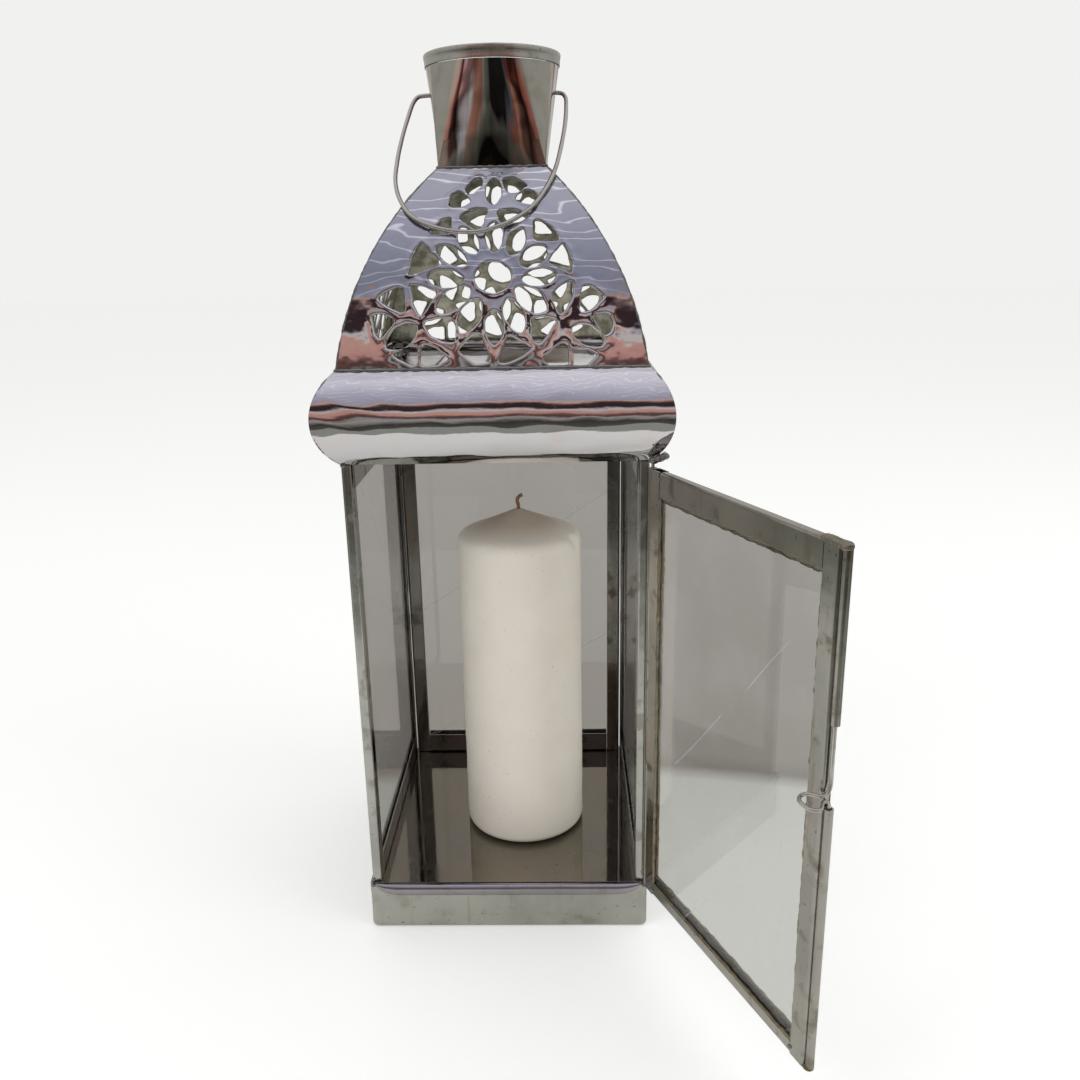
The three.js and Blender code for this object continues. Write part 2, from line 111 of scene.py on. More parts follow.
# %% Colour and node helpers
def linear(hex_colour):
    """The linear RGBA of an sRGB hex colour."""
    channels = [int(hex_colour[i:i + 2], 16) / 255 for i in (1, 3, 5)]
    return [c / 12.92 if c <= 0.04045 else ((c + 0.055) / 1.055) ** 2.4 for c in channels] + [1.0]


def node(tree, kind, inputs=None, stops=None, **settings):
    """Adds a node: settings are its own properties, inputs are values or sockets to link."""
    made = tree.nodes.new(kind)
    for key, value in settings.items():
        setattr(made, key, value)
    for key, value in (inputs or {}).items():
        if isinstance(value, bpy.types.NodeSocket):
            tree.links.new(value, made.inputs[key])
        else:
            made.inputs[key].default_value = value
    if stops:
        ramp = made.color_ramp
        while len(ramp.elements) < len(stops):
            ramp.elements.new(1.0)
        for element, (place, colour) in zip(ramp.elements, stops):
            element.position = place
            element.color = linear(colour) if isinstance(colour, str) else [colour] * 3 + [1.0]
    return made


def every(millimetres):
    """The texture scale that repeats a pattern about every so many millimetres."""
    return 1 / (millimetres * MM)


print("1 mm grain has texture scale", every(1))

# %% [markdown]
# ## Studio
#
# Polished plate has no colour of its own to speak of: it shows the room. So the room is part of
# the finish. Mirror-like rays from the front see soft bands by height: pale lavender light
# overhead, copper and maroon at eye level, a grey-green shade below, and a white table near the
# foot. Towards the sides and back the room is plain grey. Panes look out on a grey wall and the
# same pale table. Everything else gets plain soft light, on a pale floor. Two cards lie on the
# floor for the reflections alone, because the real table ends not far from the lantern.

# %% The room, seen by reflections, by panes and by soft light
def elevation(degrees):
    """A height above the horizon as a place on the room's band, from 0 straight down to 1 up."""
    return (degrees + 90) / 180


world = bpy.data.worlds.new("room")
scene.world = world
world.use_nodes = True
room = world.node_tree
room.nodes.clear()
towards = node(room, "ShaderNodeTexCoord").outputs["Generated"]
patches = node(room, "ShaderNodeTexNoise", {"Vector": towards, "Scale": 3.2, "Detail": 2.0})
parts = node(room, "ShaderNodeSeparateXYZ", {0: towards}).outputs
angle = node(room, "ShaderNodeMath", {0: parts["Z"]}, operation="ARCSINE")
band = node(room, "ShaderNodeMapRange", {
    "Value": angle.outputs[0], "From Min": -math.pi / 2, "From Max": math.pi / 2})
shift = node(room, "ShaderNodeMath", {0: patches.outputs["Fac"], 1: -0.5}, operation="ADD")
wander = node(room, "ShaderNodeMath", {0: shift.outputs[0], 1: 0.06, 2: band.outputs[0]},
              operation="MULTIPLY_ADD")
mirrored = node(room, "ShaderNodeValToRGB", {"Fac": wander.outputs[0]}, stops=[
    (elevation(-76), "#a8a6a0"), (elevation(-62), "#e4e2dd"), (elevation(-38), "#f4f2ed"),
    (elevation(-35), "#8a7166"), (elevation(-32), "#332c29"), (elevation(-22), "#53534f"),
    (elevation(-14), "#3f3c39"), (elevation(-11), "#6b6763"), (elevation(-6), "#a5a19e"),
    (elevation(-2), "#4f3a38"), (elevation(1), "#7a5a56"), (elevation(3), "#c3948b"),
    (elevation(9), "#cda196"), (elevation(10.5), "#d0cbca"), (elevation(13), "#b6b2b6"),
    (elevation(15), "#33272d"), (elevation(21), "#43302f"), (elevation(23.5), "#7b6d71"),
    (elevation(25.5), "#dcae93"), (elevation(28), "#a4a4b5"), (elevation(45), "#c8c7d6"),
    (elevation(62), "#e6e3f0"), (elevation(80), "#f2f0f8"),
])
forward_part = node(room, "ShaderNodeMath", {0: parts["Y"], 1: -1.0}, operation="MULTIPLY")
turn = node(room, "ShaderNodeMath", {0: parts["X"], 1: forward_part.outputs[0]}, operation="ARCTAN2")
off_front = node(room, "ShaderNodeMath", {0: turn.outputs[0]}, operation="ABSOLUTE")
to_the_side = node(room, "ShaderNodeMapRange", {
    "Value": off_front.outputs[0], "From Min": math.radians(32), "From Max": math.radians(58)},
    interpolation_type="SMOOTHSTEP")
sideways = node(room, "ShaderNodeValToRGB", {"Fac": band.outputs[0]}, stops=[
    (elevation(-60), "#d9d8d3"), (elevation(-36), "#c9c8c3"), (elevation(-30), "#6d6b66"),
    (elevation(-12), "#83817b"), (elevation(-2), "#bab8b2"), (elevation(35), "#d6d4d2"),
    (elevation(70), "#dfdce6"),
])
beyond = node(room, "ShaderNodeValToRGB", {"Fac": band.outputs[0]}, stops=[
    (elevation(-34), "#dfe2dc"), (elevation(-30.1), "#d6d9d3"), (elevation(-29.9), "#928c85"),
    (elevation(-29), "#a6a29c"), (elevation(0), "#bfbbb8"), (elevation(40), "#d3d0cd"),
])
path = node(room, "ShaderNodeLightPath")
SOFT_LIGHT, BACKDROP = linear("#dcdcdc"), linear("#f1f1f0")
MIX_A, MIX_B, MIXED = 6, 7, 2        # the colour sockets of a Mix node
all_round = node(room, "ShaderNodeMix", {
    0: to_the_side.outputs[0], MIX_A: mirrored.outputs["Color"], MIX_B: sideways.outputs["Color"],
}, data_type="RGBA")
with_bands = node(room, "ShaderNodeMix", {
    0: path.outputs["Is Glossy Ray"], MIX_A: SOFT_LIGHT, MIX_B: all_round.outputs[MIXED],
}, data_type="RGBA")
with_panes = node(room, "ShaderNodeMix", {
    0: path.outputs["Is Transmission Ray"], MIX_A: with_bands.outputs[MIXED],
    MIX_B: beyond.outputs["Color"],
}, data_type="RGBA")
with_backdrop = node(room, "ShaderNodeMix", {
    0: path.outputs["Is Camera Ray"], MIX_A: with_panes.outputs[MIXED], MIX_B: BACKDROP,
}, data_type="RGBA")
glow = node(room, "ShaderNodeBackground", {"Color": with_backdrop.outputs[MIXED]})
node(room, "ShaderNodeOutputWorld", {"Surface": glow.outputs[0]})
print("bands in the room:", len(mirrored.color_ramp.elements))

# %% Floor, white card and lamps
def flat_square(name, half, z, colour, glow=0.0):
    """A pale square on the ground, which isn't part of the lantern."""
    mesh = bpy.data.meshes.new(name)
    corners = [(-half, -half, z), (half, -half, z), (half, half, z), (-half, half, z)]
    mesh.from_pydata(corners, [], [(0, 1, 2, 3)])
    thing = bpy.data.objects.new(name, mesh)
    scene.collection.objects.link(thing)
    paint = bpy.data.materials.new(name)
    paint.use_nodes = True
    paint.node_tree.nodes.clear()
    matt = node(paint.node_tree, "ShaderNodeBsdfPrincipled", {
        "Base Color": linear(colour), "Roughness": 1.0, "Specular IOR Level": 0.0,
        "Emission Color": linear(colour), "Emission Strength": glow})
    node(paint.node_tree, "ShaderNodeOutputMaterial", {"Surface": matt.outputs[0]})
    mesh.materials.append(paint)
    return thing


floor = flat_square("floor", 6.0, -0.3 * MM, "#f4f4f3", glow=0.25)
floor.visible_glossy = floor.visible_transmission = False
for name, half, z, colour in (("grey_card", 0.66, -0.2 * MM, "#9a9d96"),
                              ("white_card", 0.42, -0.1 * MM, "#f4f4f1")):
    card = flat_square(name, half, z, colour)
    card.visible_camera = card.visible_diffuse = card.visible_transmission = False
    card.visible_shadow = False


def soft_lamp(name, place, target, size, watts):
    """A square softbox aimed at a point."""
    lamp = bpy.data.objects.new(name, bpy.data.lights.new(name, "AREA"))
    scene.collection.objects.link(lamp)
    lamp.data.size, lamp.data.energy = size, watts
    lamp.location = place
    lamp.rotation_euler = (Vector(target) - Vector(place)).to_track_quat("-Z", "Y").to_euler()
    lamp.visible_glossy = False
    return lamp


middle = (cad_box[0] + cad_box[1]) / 2
soft_lamp("window_light", (-1.15, -0.75, 1.0), middle, 0.9, 5.0)
soft_lamp("fill_light", (1.25, -0.55, 0.7), middle, 0.9, 6.6)
print("lantern's middle:", [round(v, 3) for v in middle])

# %% [markdown]
# ## Polished plate
#
# The cornice, dome and chimney are bright tin-plated sheet, rolled thin and polished, so they
# mirror the room. The rolling leaves long shallow waves across the sheet, and soldering leaves
# rosy and straw-coloured heat tints. A pure metal shader gives the mirror. The waves are a
# stretched noise in the bump, since they are far too shallow to be worth modelling, and the tints
# are soft patches in the colour. The fine bright lines the waves throw are painted highlights:
# white lines laid into the colour high up. The cornice's lines are too fine for a render to show,
# so they are drawn a little wider. Higher up, the colour also turns darker and bluer, which is
# painted shade.
#
# The chimney is the same plate. Its folds gather the room into long streaks of copper and
# blue-grey round a black peak at the foot, which a smooth model can't do, so those streaks are in
# its colour and follow the folds. Its cones have been scoured dull.

# %% Patterns that the finishes share
def new_finish(name):
    """A material, its tree and its object coordinates."""
    made = bpy.data.materials.new(name)
    made.use_nodes = True
    tree = made.node_tree
    tree.nodes.clear()
    return made, tree, node(tree, "ShaderNodeTexCoord").outputs["Object"]


def grain(tree, coords, across, upward, detail, distortion=0.0):
    """Noise drawn out upwards, in marks about so many millimetres across and tall."""
    sizes = (every(across), every(across), every(upward))
    drawn_out = node(tree, "ShaderNodeMapping", {"Vector": coords, "Scale": sizes}).outputs[0]
    return node(tree, "ShaderNodeTexNoise", {
        "Vector": drawn_out, "Scale": 1.0, "Detail": detail, "Distortion": distortion,
    }).outputs["Fac"]


def blotches(tree, coords, millimetres, low, high, detail=4.0):
    """A mask from 0 to 1 of soft-edged patches about so many millimetres wide."""
    cloud = node(tree, "ShaderNodeTexNoise", {
        "Vector": coords, "Scale": every(millimetres), "Detail": detail})
    edge = node(tree, "ShaderNodeMapRange", {
        "Value": cloud.outputs["Fac"], "From Min": low, "From Max": high},
        interpolation_type="SMOOTHSTEP")
    return edge.outputs[0]


def laid_over(tree, under, over, mask, share=1.0):
    """One colour laid over another where the mask is, as thickly as the share says."""
    thick = node(tree, "ShaderNodeMath", {0: mask, 1: share}, operation="MULTIPLY").outputs[0]
    return node(tree, "ShaderNodeMix", {0: thick, MIX_A: under, MIX_B: over},
                data_type="RGBA").outputs[MIXED]


def surface(tree, **sockets):
    """The one shader of a material, with its sockets by name."""
    inputs = {name.replace("_", " "): value for name, value in sockets.items()}
    shader = node(tree, "ShaderNodeBsdfPrincipled", inputs)
    return node(tree, "ShaderNodeOutputMaterial", {"Surface": shader.outputs[0]})


def contour_lines(tree, value, spacing, width):
    """Thin lines where the value passes each multiple of the spacing, like contours on a map."""
    turns = node(tree, "ShaderNodeMath", {0: value, 1: 1 / spacing}, operation="MULTIPLY").outputs[0]
    part = node(tree, "ShaderNodeMath", {0: turns}, operation="FRACT").outputs[0]
    off = node(tree, "ShaderNodeMath", {0: part, 1: 0.5}, operation="SUBTRACT").outputs[0]
    far = node(tree, "ShaderNodeMath", {0: off}, operation="ABSOLUTE").outputs[0]
    return node(tree, "ShaderNodeMapRange", {
        "Value": far, "From Min": 0.0, "From Max": width / spacing, "To Min": 1.0, "To Max": 0.0},
        interpolation_type="SMOOTHSTEP").outputs[0]


print("shader helpers ready")

# %% Polished plate, plain or pierced
SPRING_BACK = -0.10   # how far a dome side leans out of its arc, as it springs back


def polished_plate(name, high_up, ripple, line, share, low, high, pierced=False):
    """Tin plate: from `low` to `high` mm up, its colour turns to a darker top colour, which is painted
    shade, and ripples appear.

    The ripples are `ripple` mm apart, and their crests are painted highlights: white lines `line` mm
    wide laid into the colour. A pierced sheet is also lumpy, leans by SPRING_BACK, and has dull flux
    on the faces whose `inside` attribute is 1.
    """
    made, tree, coords = new_finish(name)
    wave = grain(tree, coords, 9 * ripple, 3 * ripple, detail=2.5, distortion=0.4)
    up_lantern = node(tree, "ShaderNodeSeparateXYZ", {0: coords}).outputs["Z"]
    rung = node(tree, "ShaderNodeMath", {0: up_lantern, 1: every(ripple)},
                operation="MULTIPLY").outputs[0]
    rung = node(tree, "ShaderNodeMath", {0: wave, 1: 5.0, 2: rung},
                operation="MULTIPLY_ADD").outputs[0]
    # Painted highlights: the crests of the ripples become thin white lines in the colour.
    painted_highlight_lines = contour_lines(tree, rung, spacing=1.0, width=line / ripple)
    fade = node(tree, "ShaderNodeMapRange", {
        "Value": up_lantern, "From Min": low * MM, "From Max": high * MM,
    }).outputs[0]
    painted_highlight_lines = node(tree, "ShaderNodeMath", {0: painted_highlight_lines, 1: fade}, operation="MULTIPLY").outputs[0]
    rosy = blotches(tree, coords, 22, 0.52, 0.72)
    straw = blotches(tree, coords, 9, 0.60, 0.78)
    dull = blotches(tree, coords, 4, 0.55, 0.75, detail=6.0)
    # Painted shade: above `low` the colour turns darker and bluer, standing in for shade on the upper plate.
    colour = laid_over(tree, linear("#d4d2d3"), linear(high_up), fade)
    colour = laid_over(tree, colour, linear("#c9a99e"), rosy, 0.20)
    colour = laid_over(tree, colour, linear("#b3a78e"), straw, 0.18)
    # The painted highlight lines are laid over the metal's colour.
    colour = laid_over(tree, colour, linear("#ffffff"), painted_highlight_lines, share)
    upright = node(tree, "ShaderNodeNewGeometry").outputs["Normal"]
    if pierced:
        upright = node(tree, "ShaderNodeVectorMath", {0: upright, 1: (0.0, 0.0, SPRING_BACK)},
                       operation="ADD").outputs[0]
        upright = node(tree, "ShaderNodeVectorMath", {0: upright}, operation="NORMALIZE").outputs[0]
    relief = node(tree, "ShaderNodeBump", {
        "Height": wave, "Distance": 0.05 * MM, "Normal": upright}).outputs[0]
    rough = node(tree, "ShaderNodeMapRange", {
        "Value": dull, "To Min": 0.05, "To Max": 0.13}).outputs[0]
    if pierced:
        lumps = node(tree, "ShaderNodeTexNoise", {
            "Vector": coords, "Scale": every(5), "Detail": 1.0}).outputs["Fac"]
        relief = node(tree, "ShaderNodeBump", {
            "Height": lumps, "Distance": 0.12 * MM, "Normal": relief}).outputs[0]
        inner = node(tree, "ShaderNodeAttribute", attribute_name="inside").outputs["Fac"]
        flux = blotches(tree, coords, 5, 0.35, 0.65)
        fluxed = laid_over(tree, linear("#c9c6b6"), linear("#8f8c7b"), flux)
        colour = laid_over(tree, colour, fluxed, inner)
        rough = node(tree, "ShaderNodeMath", {0: inner, 1: 0.3, 2: rough},
                     operation="MULTIPLY_ADD").outputs[0]
    surface(tree, Base_Color=colour, Metallic=1.0, Roughness=rough, Normal=relief)
    return made


# %% The chimney's plate: painted reflections on the flats, scoured grey on the cones
def chimney_plate():
    """The attribute `fold` holds how far across a flat, how far up, and how much of a cone."""
    made, tree, coords = new_finish("folded_chimney_tinplate")
    fold = node(tree, "ShaderNodeAttribute", attribute_name="fold").outputs["Vector"]
    parts = node(tree, "ShaderNodeSeparateXYZ", {0: fold}).outputs
    fan = node(tree, "ShaderNodeMapping", {
        "Vector": fold, "Scale": (2.6, 0.9, 0.0), "Location": (3.1, 1.7, 0.0)}).outputs[0]
    folds = node(tree, "ShaderNodeTexNoise", {"Vector": fan, "Scale": 1.0, "Detail": 2.0})
    bend = node(tree, "ShaderNodeMath", {0: folds.outputs["Fac"], 1: 0.44, 2: -0.22},
                operation="MULTIPLY_ADD").outputs[0]
    place = node(tree, "ShaderNodeMath", {0: parts["X"], 1: 0.5, 2: 0.5},
                 operation="MULTIPLY_ADD").outputs[0]
    place = node(tree, "ShaderNodeMath", {0: place, 1: bend}, operation="ADD").outputs[0]
    # Painted reflections: streaks of the room's copper, grey and black across each flat, following the
    # folds.
    painted_reflection_streaks = node(tree, "ShaderNodeValToRGB", {"Fac": place}, stops=[
        (0.00, "#e0c8bc"), (0.05, "#6a4c44"), (0.11, "#3f3230"), (0.16, "#cfced4"),
        (0.23, "#dcdce2"), (0.27, "#c48f7d"), (0.36, "#ab7766"), (0.40, "#a6a69e"),
        (0.48, "#77786e"), (0.53, "#2c2b28"), (0.66, "#252422"), (0.70, "#6c727b"),
        (0.74, "#9a6455"), (0.80, "#c88f7b"), (0.86, "#6b4f47"), (0.92, "#272322"),
        (1.00, "#8f5d50")]).outputs["Color"]
    low_down = node(tree, "ShaderNodeMath", {0: folds.outputs["Fac"], 1: 0.7, 2: parts["Y"]},
                    operation="MULTIPLY_ADD").outputs[0]
    aside = node(tree, "ShaderNodeMath", {0: parts["X"]}, operation="ABSOLUTE").outputs[0]
    from_foot = node(tree, "ShaderNodeMath", {0: aside, 1: 0.75, 2: low_down},
                     operation="MULTIPLY_ADD").outputs[0]
    # Painted reflection: a black peak at the foot of each flat.
    painted_dark_peak_mask = node(tree, "ShaderNodeValToRGB", {"Fac": from_foot}, stops=[
        (0.60, 1.0), (0.74, 0.85), (0.90, 0.75), (1.00, 0.0)]).outputs["Color"]
    painted_dark_peak_colour = node(tree, "ShaderNodeValToRGB", {"Fac": from_foot}, stops=[
        (0.40, "#3b2f2a"), (0.47, "#1f1c1a"), (0.62, "#211e1c"), (0.66, "#4a4a45"),
        (0.80, "#6d6f66"), (0.97, "#8f9088")]).outputs["Color"]
    painted_reflection_streaks = laid_over(tree, painted_reflection_streaks, painted_dark_peak_colour, painted_dark_peak_mask)
    worn = blotches(tree, coords, 9, 0.42, 0.70, detail=6.0)
    scoured = laid_over(tree, linear("#adaca3"), linear("#8b8982"), worn, 0.5)
    colour = laid_over(tree, painted_reflection_streaks, scoured, parts["Z"])
    rough = node(tree, "ShaderNodeMapRange", {
        "Value": parts["Z"], "To Min": 0.08, "To Max": 0.34}).outputs[0]
    drawn = grain(tree, coords, 5, 40, detail=2.0)
    relief = node(tree, "ShaderNodeBump", {"Height": drawn, "Distance": 0.08 * MM}).outputs[0]
    surface(tree, Base_Color=colour, Metallic=1.0, Roughness=rough, Normal=relief)
    return made


CHIMNEY_PLATE = chimney_plate()
# The second value is the darker top colour, painted shade; the fourth and fifth set the width and strength
# of the painted highlight lines.
PLATE = polished_plate("bright_tinplate", "#d1cfd2", 1.6, 0.22, 0.35, 252, 257)
LACE = polished_plate("bright_tinplate_pierced", "#a7a9b0", 4.8, 0.55, 0.62, 286, 304, pierced=True)
print("materials:", PLATE.name, LACE.name)

# %% [markdown]
# ## Dull tinned sheet
#
# The frames and base are the same tinned sheet left unpolished: grey, a little cloudy, with
# brown flux stains where the solder ran, rust starting in streaks down the stiles, and dark
# specks. It is still a metal, so the stains are laid over the metal's colour and raise its
# roughness, which is how they catch the eye.

# %% Dull tinned sheet
def tinned_sheet(name, clean, stained, stain_share, gloss, dented=0.22):
    """Cloudy grey tin; gloss is its roughness where clean and where stained, dents are in mm."""
    made, tree, coords = new_finish(name)
    clouds = blotches(tree, coords, 30, 0.38, 0.66, detail=3.0)
    stain = blotches(tree, coords, 11, 0.54, 0.70, detail=6.0)
    runs = grain(tree, coords, 3.5, 38, detail=5.0)
    streaks = node(tree, "ShaderNodeMapRange", {
        "Value": runs, "From Min": 0.57, "From Max": 0.74},
        interpolation_type="SMOOTHSTEP").outputs[0]
    specks = blotches(tree, coords, 1.5, 0.69, 0.73, detail=2.0)
    colour = laid_over(tree, linear(clean), linear("#85867f"), clouds, 0.35)
    colour = laid_over(tree, colour, linear(stained), stain, stain_share)
    colour = laid_over(tree, colour, linear("#86694a"), streaks, stain_share)
    colour = laid_over(tree, colour, linear("#3d3a34"), specks, 0.6)
    rough = node(tree, "ShaderNodeMapRange", {
        "Value": stain, "To Min": gloss[0], "To Max": gloss[1]}).outputs[0]
    dents = node(tree, "ShaderNodeTexNoise", {
        "Vector": coords, "Scale": every(16), "Detail": 2.0}).outputs["Fac"]
    relief = node(tree, "ShaderNodeBump", {"Height": dents, "Distance": dented * MM}).outputs[0]
    surface(tree, Base_Color=colour, Metallic=1.0, Roughness=rough, Normal=relief)
    return made


# Frames: half-polished, so the room shows as soft streaks. The door is browner from handling.
FRAME_TIN = tinned_sheet("dull_tinned_sheet", "#b9b9b3", "#756a4e", 0.34, (0.18, 0.40))
DOOR_TIN = tinned_sheet("door_tinned_sheet", "#aaa79f", "#5f523c", 0.50, (0.18, 0.40))
# Base: matt and even, since it is wiped and stood on.
BASE_TIN = tinned_sheet("base_tinned_sheet", "#bdbdb5", "#8a7c62", 0.22, (0.42, 0.58))
# Floor and sill: rubbed bright by candles sliding in and out, so they mirror what stands there.
FLOOR_TIN = tinned_sheet("worn_floor_sheet", "#8f887d", "#665e50", 0.12, (0.04, 0.12), dented=0.03)
SILL_TIN = tinned_sheet("rolled_sill_sheet", "#a19ea3", "#6d6660", 0.25, (0.10, 0.20), dented=0.1)
# Painted shade: frame sides facing inwards are darker, for the shadow inside the lantern.
INWARD_SHADE_TIN = tinned_sheet("inward_shaded_tinned_sheet", "#716d66", "#332d25", 0.55, (0.14, 0.34))
# Solder is greyer than tin and sets with a wrinkled skin.
SOLDER = tinned_sheet("soft_solder", "#8d8d8b", "#4c4740", 0.60, (0.26, 0.50))
# The bead that holds the door's pane is solder browned by flux.
GLAZING = tinned_sheet("flux_stained_glazing_bead", "#958b74", "#67502f", 0.6, (0.4, 0.6))
print("dull sheets:", FRAME_TIN.name, BASE_TIN.name, FLOOR_TIN.name, SOLDER.name)

# %% [markdown]
# ## Wire, glass, wax and cotton
#
# The wire is drawn steel: satin, with faint marks along its length. The panes are old clear
# glass with a grey cast, dust in clouds and long fine scratches, and light passes through them
# to whatever is behind. Wax lets light in a little way before it scatters, which softens every
# edge, so it has some subsurface. The wick is braided cotton, waxed and browned.

# %% Drawn wire
def drawn_wire_finish():
    """Satin steel: fine marks run along it, so its highlight is a broken bright line."""
    made, tree, coords = new_finish("drawn_steel_wire")
    marks = grain(tree, coords, 1.2, 14, detail=4.0)
    rust = blotches(tree, coords, 6, 0.60, 0.76)
    colour = laid_over(tree, linear("#c2bfb8"), linear("#7a6851"), rust, 0.5)
    rough = node(tree, "ShaderNodeMapRange", {
        "Value": marks, "To Min": 0.18, "To Max": 0.38}).outputs[0]
    relief = node(tree, "ShaderNodeBump", {"Height": marks, "Distance": 0.03 * MM}).outputs[0]
    surface(tree, Base_Color=colour, Metallic=1.0, Roughness=rough, Normal=relief)
    return made


WIRE = drawn_wire_finish()

# %% Old clear glass
SCRATCH_ACROSS = (0.35, -0.55, -0.55)   # the way across the long scratches


def old_glass():
    """Clear glass with dust and scratches; rays from lamps pass straight through it."""
    made, tree, coords = new_finish("old_clear_glass")
    dust = blotches(tree, coords, 34, 0.42, 0.74, detail=7.0)
    grime = blotches(tree, coords, 5, 0.58, 0.74, detail=5.0)
    across = node(tree, "ShaderNodeVectorMath", {0: coords, 1: SCRATCH_ACROSS},
                  operation="DOT_PRODUCT").outputs["Value"]
    bend = node(tree, "ShaderNodeTexNoise", {"Vector": coords, "Scale": every(90), "Detail": 2.0})
    bowed = node(tree, "ShaderNodeMath", {0: bend.outputs["Fac"], 1: 5 * MM, 2: across},
                 operation="MULTIPLY_ADD").outputs[0]
    kept = blotches(tree, coords, 55, 0.46, 0.52, detail=2.0)
    lines = contour_lines(tree, bowed, spacing=46 * MM, width=0.22 * MM)
    scratches = node(tree, "ShaderNodeMath", {0: lines, 1: kept}, operation="MULTIPLY").outputs[0]
    soiled = node(tree, "ShaderNodeMath", {0: dust, 1: 0.07}, operation="MULTIPLY").outputs[0]
    for marks, share in ((grime, 0.06), (scratches, 0.45)):
        soiled = node(tree, "ShaderNodeMath", {0: marks, 1: share, 2: soiled},
                      operation="MULTIPLY_ADD").outputs[0]
    clear = node(tree, "ShaderNodeMath", {0: 1.0, 1: soiled}, operation="SUBTRACT").outputs[0]
    glass = node(tree, "ShaderNodeBsdfPrincipled", {
        "Base Color": linear("#dedddb"), "Roughness": 0.0,
        "IOR": 1.5, "Transmission Weight": clear})
    open_air = node(tree, "ShaderNodeBsdfTransparent", {"Color": linear("#dddfdb")})
    lamp_rays = node(tree, "ShaderNodeLightPath").outputs["Is Shadow Ray"]
    shown = node(tree, "ShaderNodeMixShader", {0: lamp_rays, 1: glass.outputs[0], 2: open_air.outputs[0]})
    node(tree, "ShaderNodeOutputMaterial", {"Surface": shown.outputs[0]})
    return made


GLASS = old_glass()

# %% Candle wax and wick
CANDLE_LOW, CANDLE_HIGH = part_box("candle")


def candle_wax():
    """Ivory wax: soft inside its edges, with a pinkish brown crown where it has been warm."""
    made, tree, coords = new_finish("ivory_candle_wax")
    up_candle = node(tree, "ShaderNodeSeparateXYZ", {0: coords}).outputs["Z"]
    crown = node(tree, "ShaderNodeMapRange", {
        "Value": up_candle, "From Min": CANDLE_HIGH.z - 13 * MM, "From Max": CANDLE_HIGH.z - 5 * MM},
        interpolation_type="SMOOTHSTEP").outputs[0]
    mottle = blotches(tree, coords, 24, 0.35, 0.70, detail=5.0)
    specks = blotches(tree, coords, 1.8, 0.70, 0.74, detail=2.0)
    colour = laid_over(tree, linear("#e3dcd2"), linear("#d8d0c4"), mottle, 0.35)
    colour = laid_over(tree, colour, linear("#b59f89"), crown, 0.75)
    colour = laid_over(tree, colour, linear("#8d8272"), specks, 0.35)
    pits = node(tree, "ShaderNodeTexNoise", {
        "Vector": coords, "Scale": every(7), "Detail": 5.0}).outputs["Fac"]
    rough = node(tree, "ShaderNodeMapRange", {
        "Value": mottle, "To Min": 0.38, "To Max": 0.55}).outputs[0]
    relief = node(tree, "ShaderNodeBump", {"Height": pits, "Distance": 0.18 * MM}).outputs[0]
    surface(tree, Base_Color=colour, Roughness=rough, IOR=1.44, Normal=relief,
            Subsurface_Weight=0.25, Subsurface_Radius=(1.0, 0.75, 0.5), Subsurface_Scale=4 * MM)
    return made


def braided_cotton():
    """Cotton in a slanting braid, stiff and brown with wax."""
    made, tree, coords = new_finish("waxed_cotton_wick")
    braid = node(tree, "ShaderNodeTexWave", {
        "Vector": coords, "Scale": every(1.1), "Distortion": 2.0}, bands_direction="DIAGONAL")
    strands = braid.outputs["Fac"]
    colour = laid_over(tree, linear("#6b4a2e"), linear("#a98a62"), strands)
    relief = node(tree, "ShaderNodeBump", {"Height": strands, "Distance": 0.15 * MM}).outputs[0]
    surface(tree, Base_Color=colour, Roughness=0.7, Normal=relief)
    return made


WAX, COTTON = candle_wax(), braided_cotton()
print("candle stands", round((CANDLE_HIGH.z - CANDLE_LOW.z) / MM), "mm tall")

# %% [markdown]
# ## Skins made from rings
#
# The base, sill bead, cornice, chimney, rim and candle are all the same kind of shape: a
# closed ring of points carried along, changing a little as it goes. One function joins a list
# of rings into a skin. A run that ends gets a face at each end, and a run that comes back to
# its start, like a wall folded over on itself, is joined end to end. The sign of the volume
# tells which way the faces point, so it turns an inside-out skin round.

# %% Rings into a skin
def new_piece(name, vertices, faces, material, sharp_degrees=35):
    """A shaded mesh object from points in millimetres, with its faces pointing out."""
    mesh = bpy.data.meshes.new(name)
    mesh.from_pydata([tuple(c * MM for c in v) for v in vertices], [], faces)
    work = bmesh.new()
    work.from_mesh(mesh)
    if work.calc_volume(signed=True) < 0:
        bmesh.ops.reverse_faces(work, faces=work.faces[:])
    work.to_mesh(mesh)
    work.free()
    mesh.materials.append(material)
    mesh.shade_smooth()
    mesh.set_sharp_from_angle(angle=math.radians(sharp_degrees))
    piece = bpy.data.objects.new(name, mesh)
    scene.collection.objects.link(piece)
    return piece


def skin(name, rings, material, closed=False, sharp_degrees=35):
    count = len(rings[0])
    vertices = [point for ring in rings for point in ring]
    faces = []
    for r in range(len(rings) if closed else len(rings) - 1):
        here, there = r * count, ((r + 1) % len(rings)) * count
        for i in range(count):
            j = (i + 1) % count
            faces.append((here + i, here + j, there + j, there + i))
    if not closed:
        last = (len(rings) - 1) * count
        faces += [tuple(reversed(range(count))), tuple(last + i for i in range(count))]
    return new_piece(name, vertices, faces, material, sharp_degrees)


def stands_for(piece, body, material_slot, *nodes):
    """The piece rides on its body in place of the frame's plain nodes."""
    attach(piece, body)
    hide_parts(*nodes)
    print(f"{piece.name}: {len(piece.data.polygons)} faces")


def uneven(point, size, amount, seed=0.0):
    """A smooth value within about `amount` of 0 that wanders every `size` mm."""
    return amount * noise.noise(Vector(point) / size + Vector((seed, seed, seed)))


def box_mm(name):
    low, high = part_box(name)
    return low / MM, high / MM


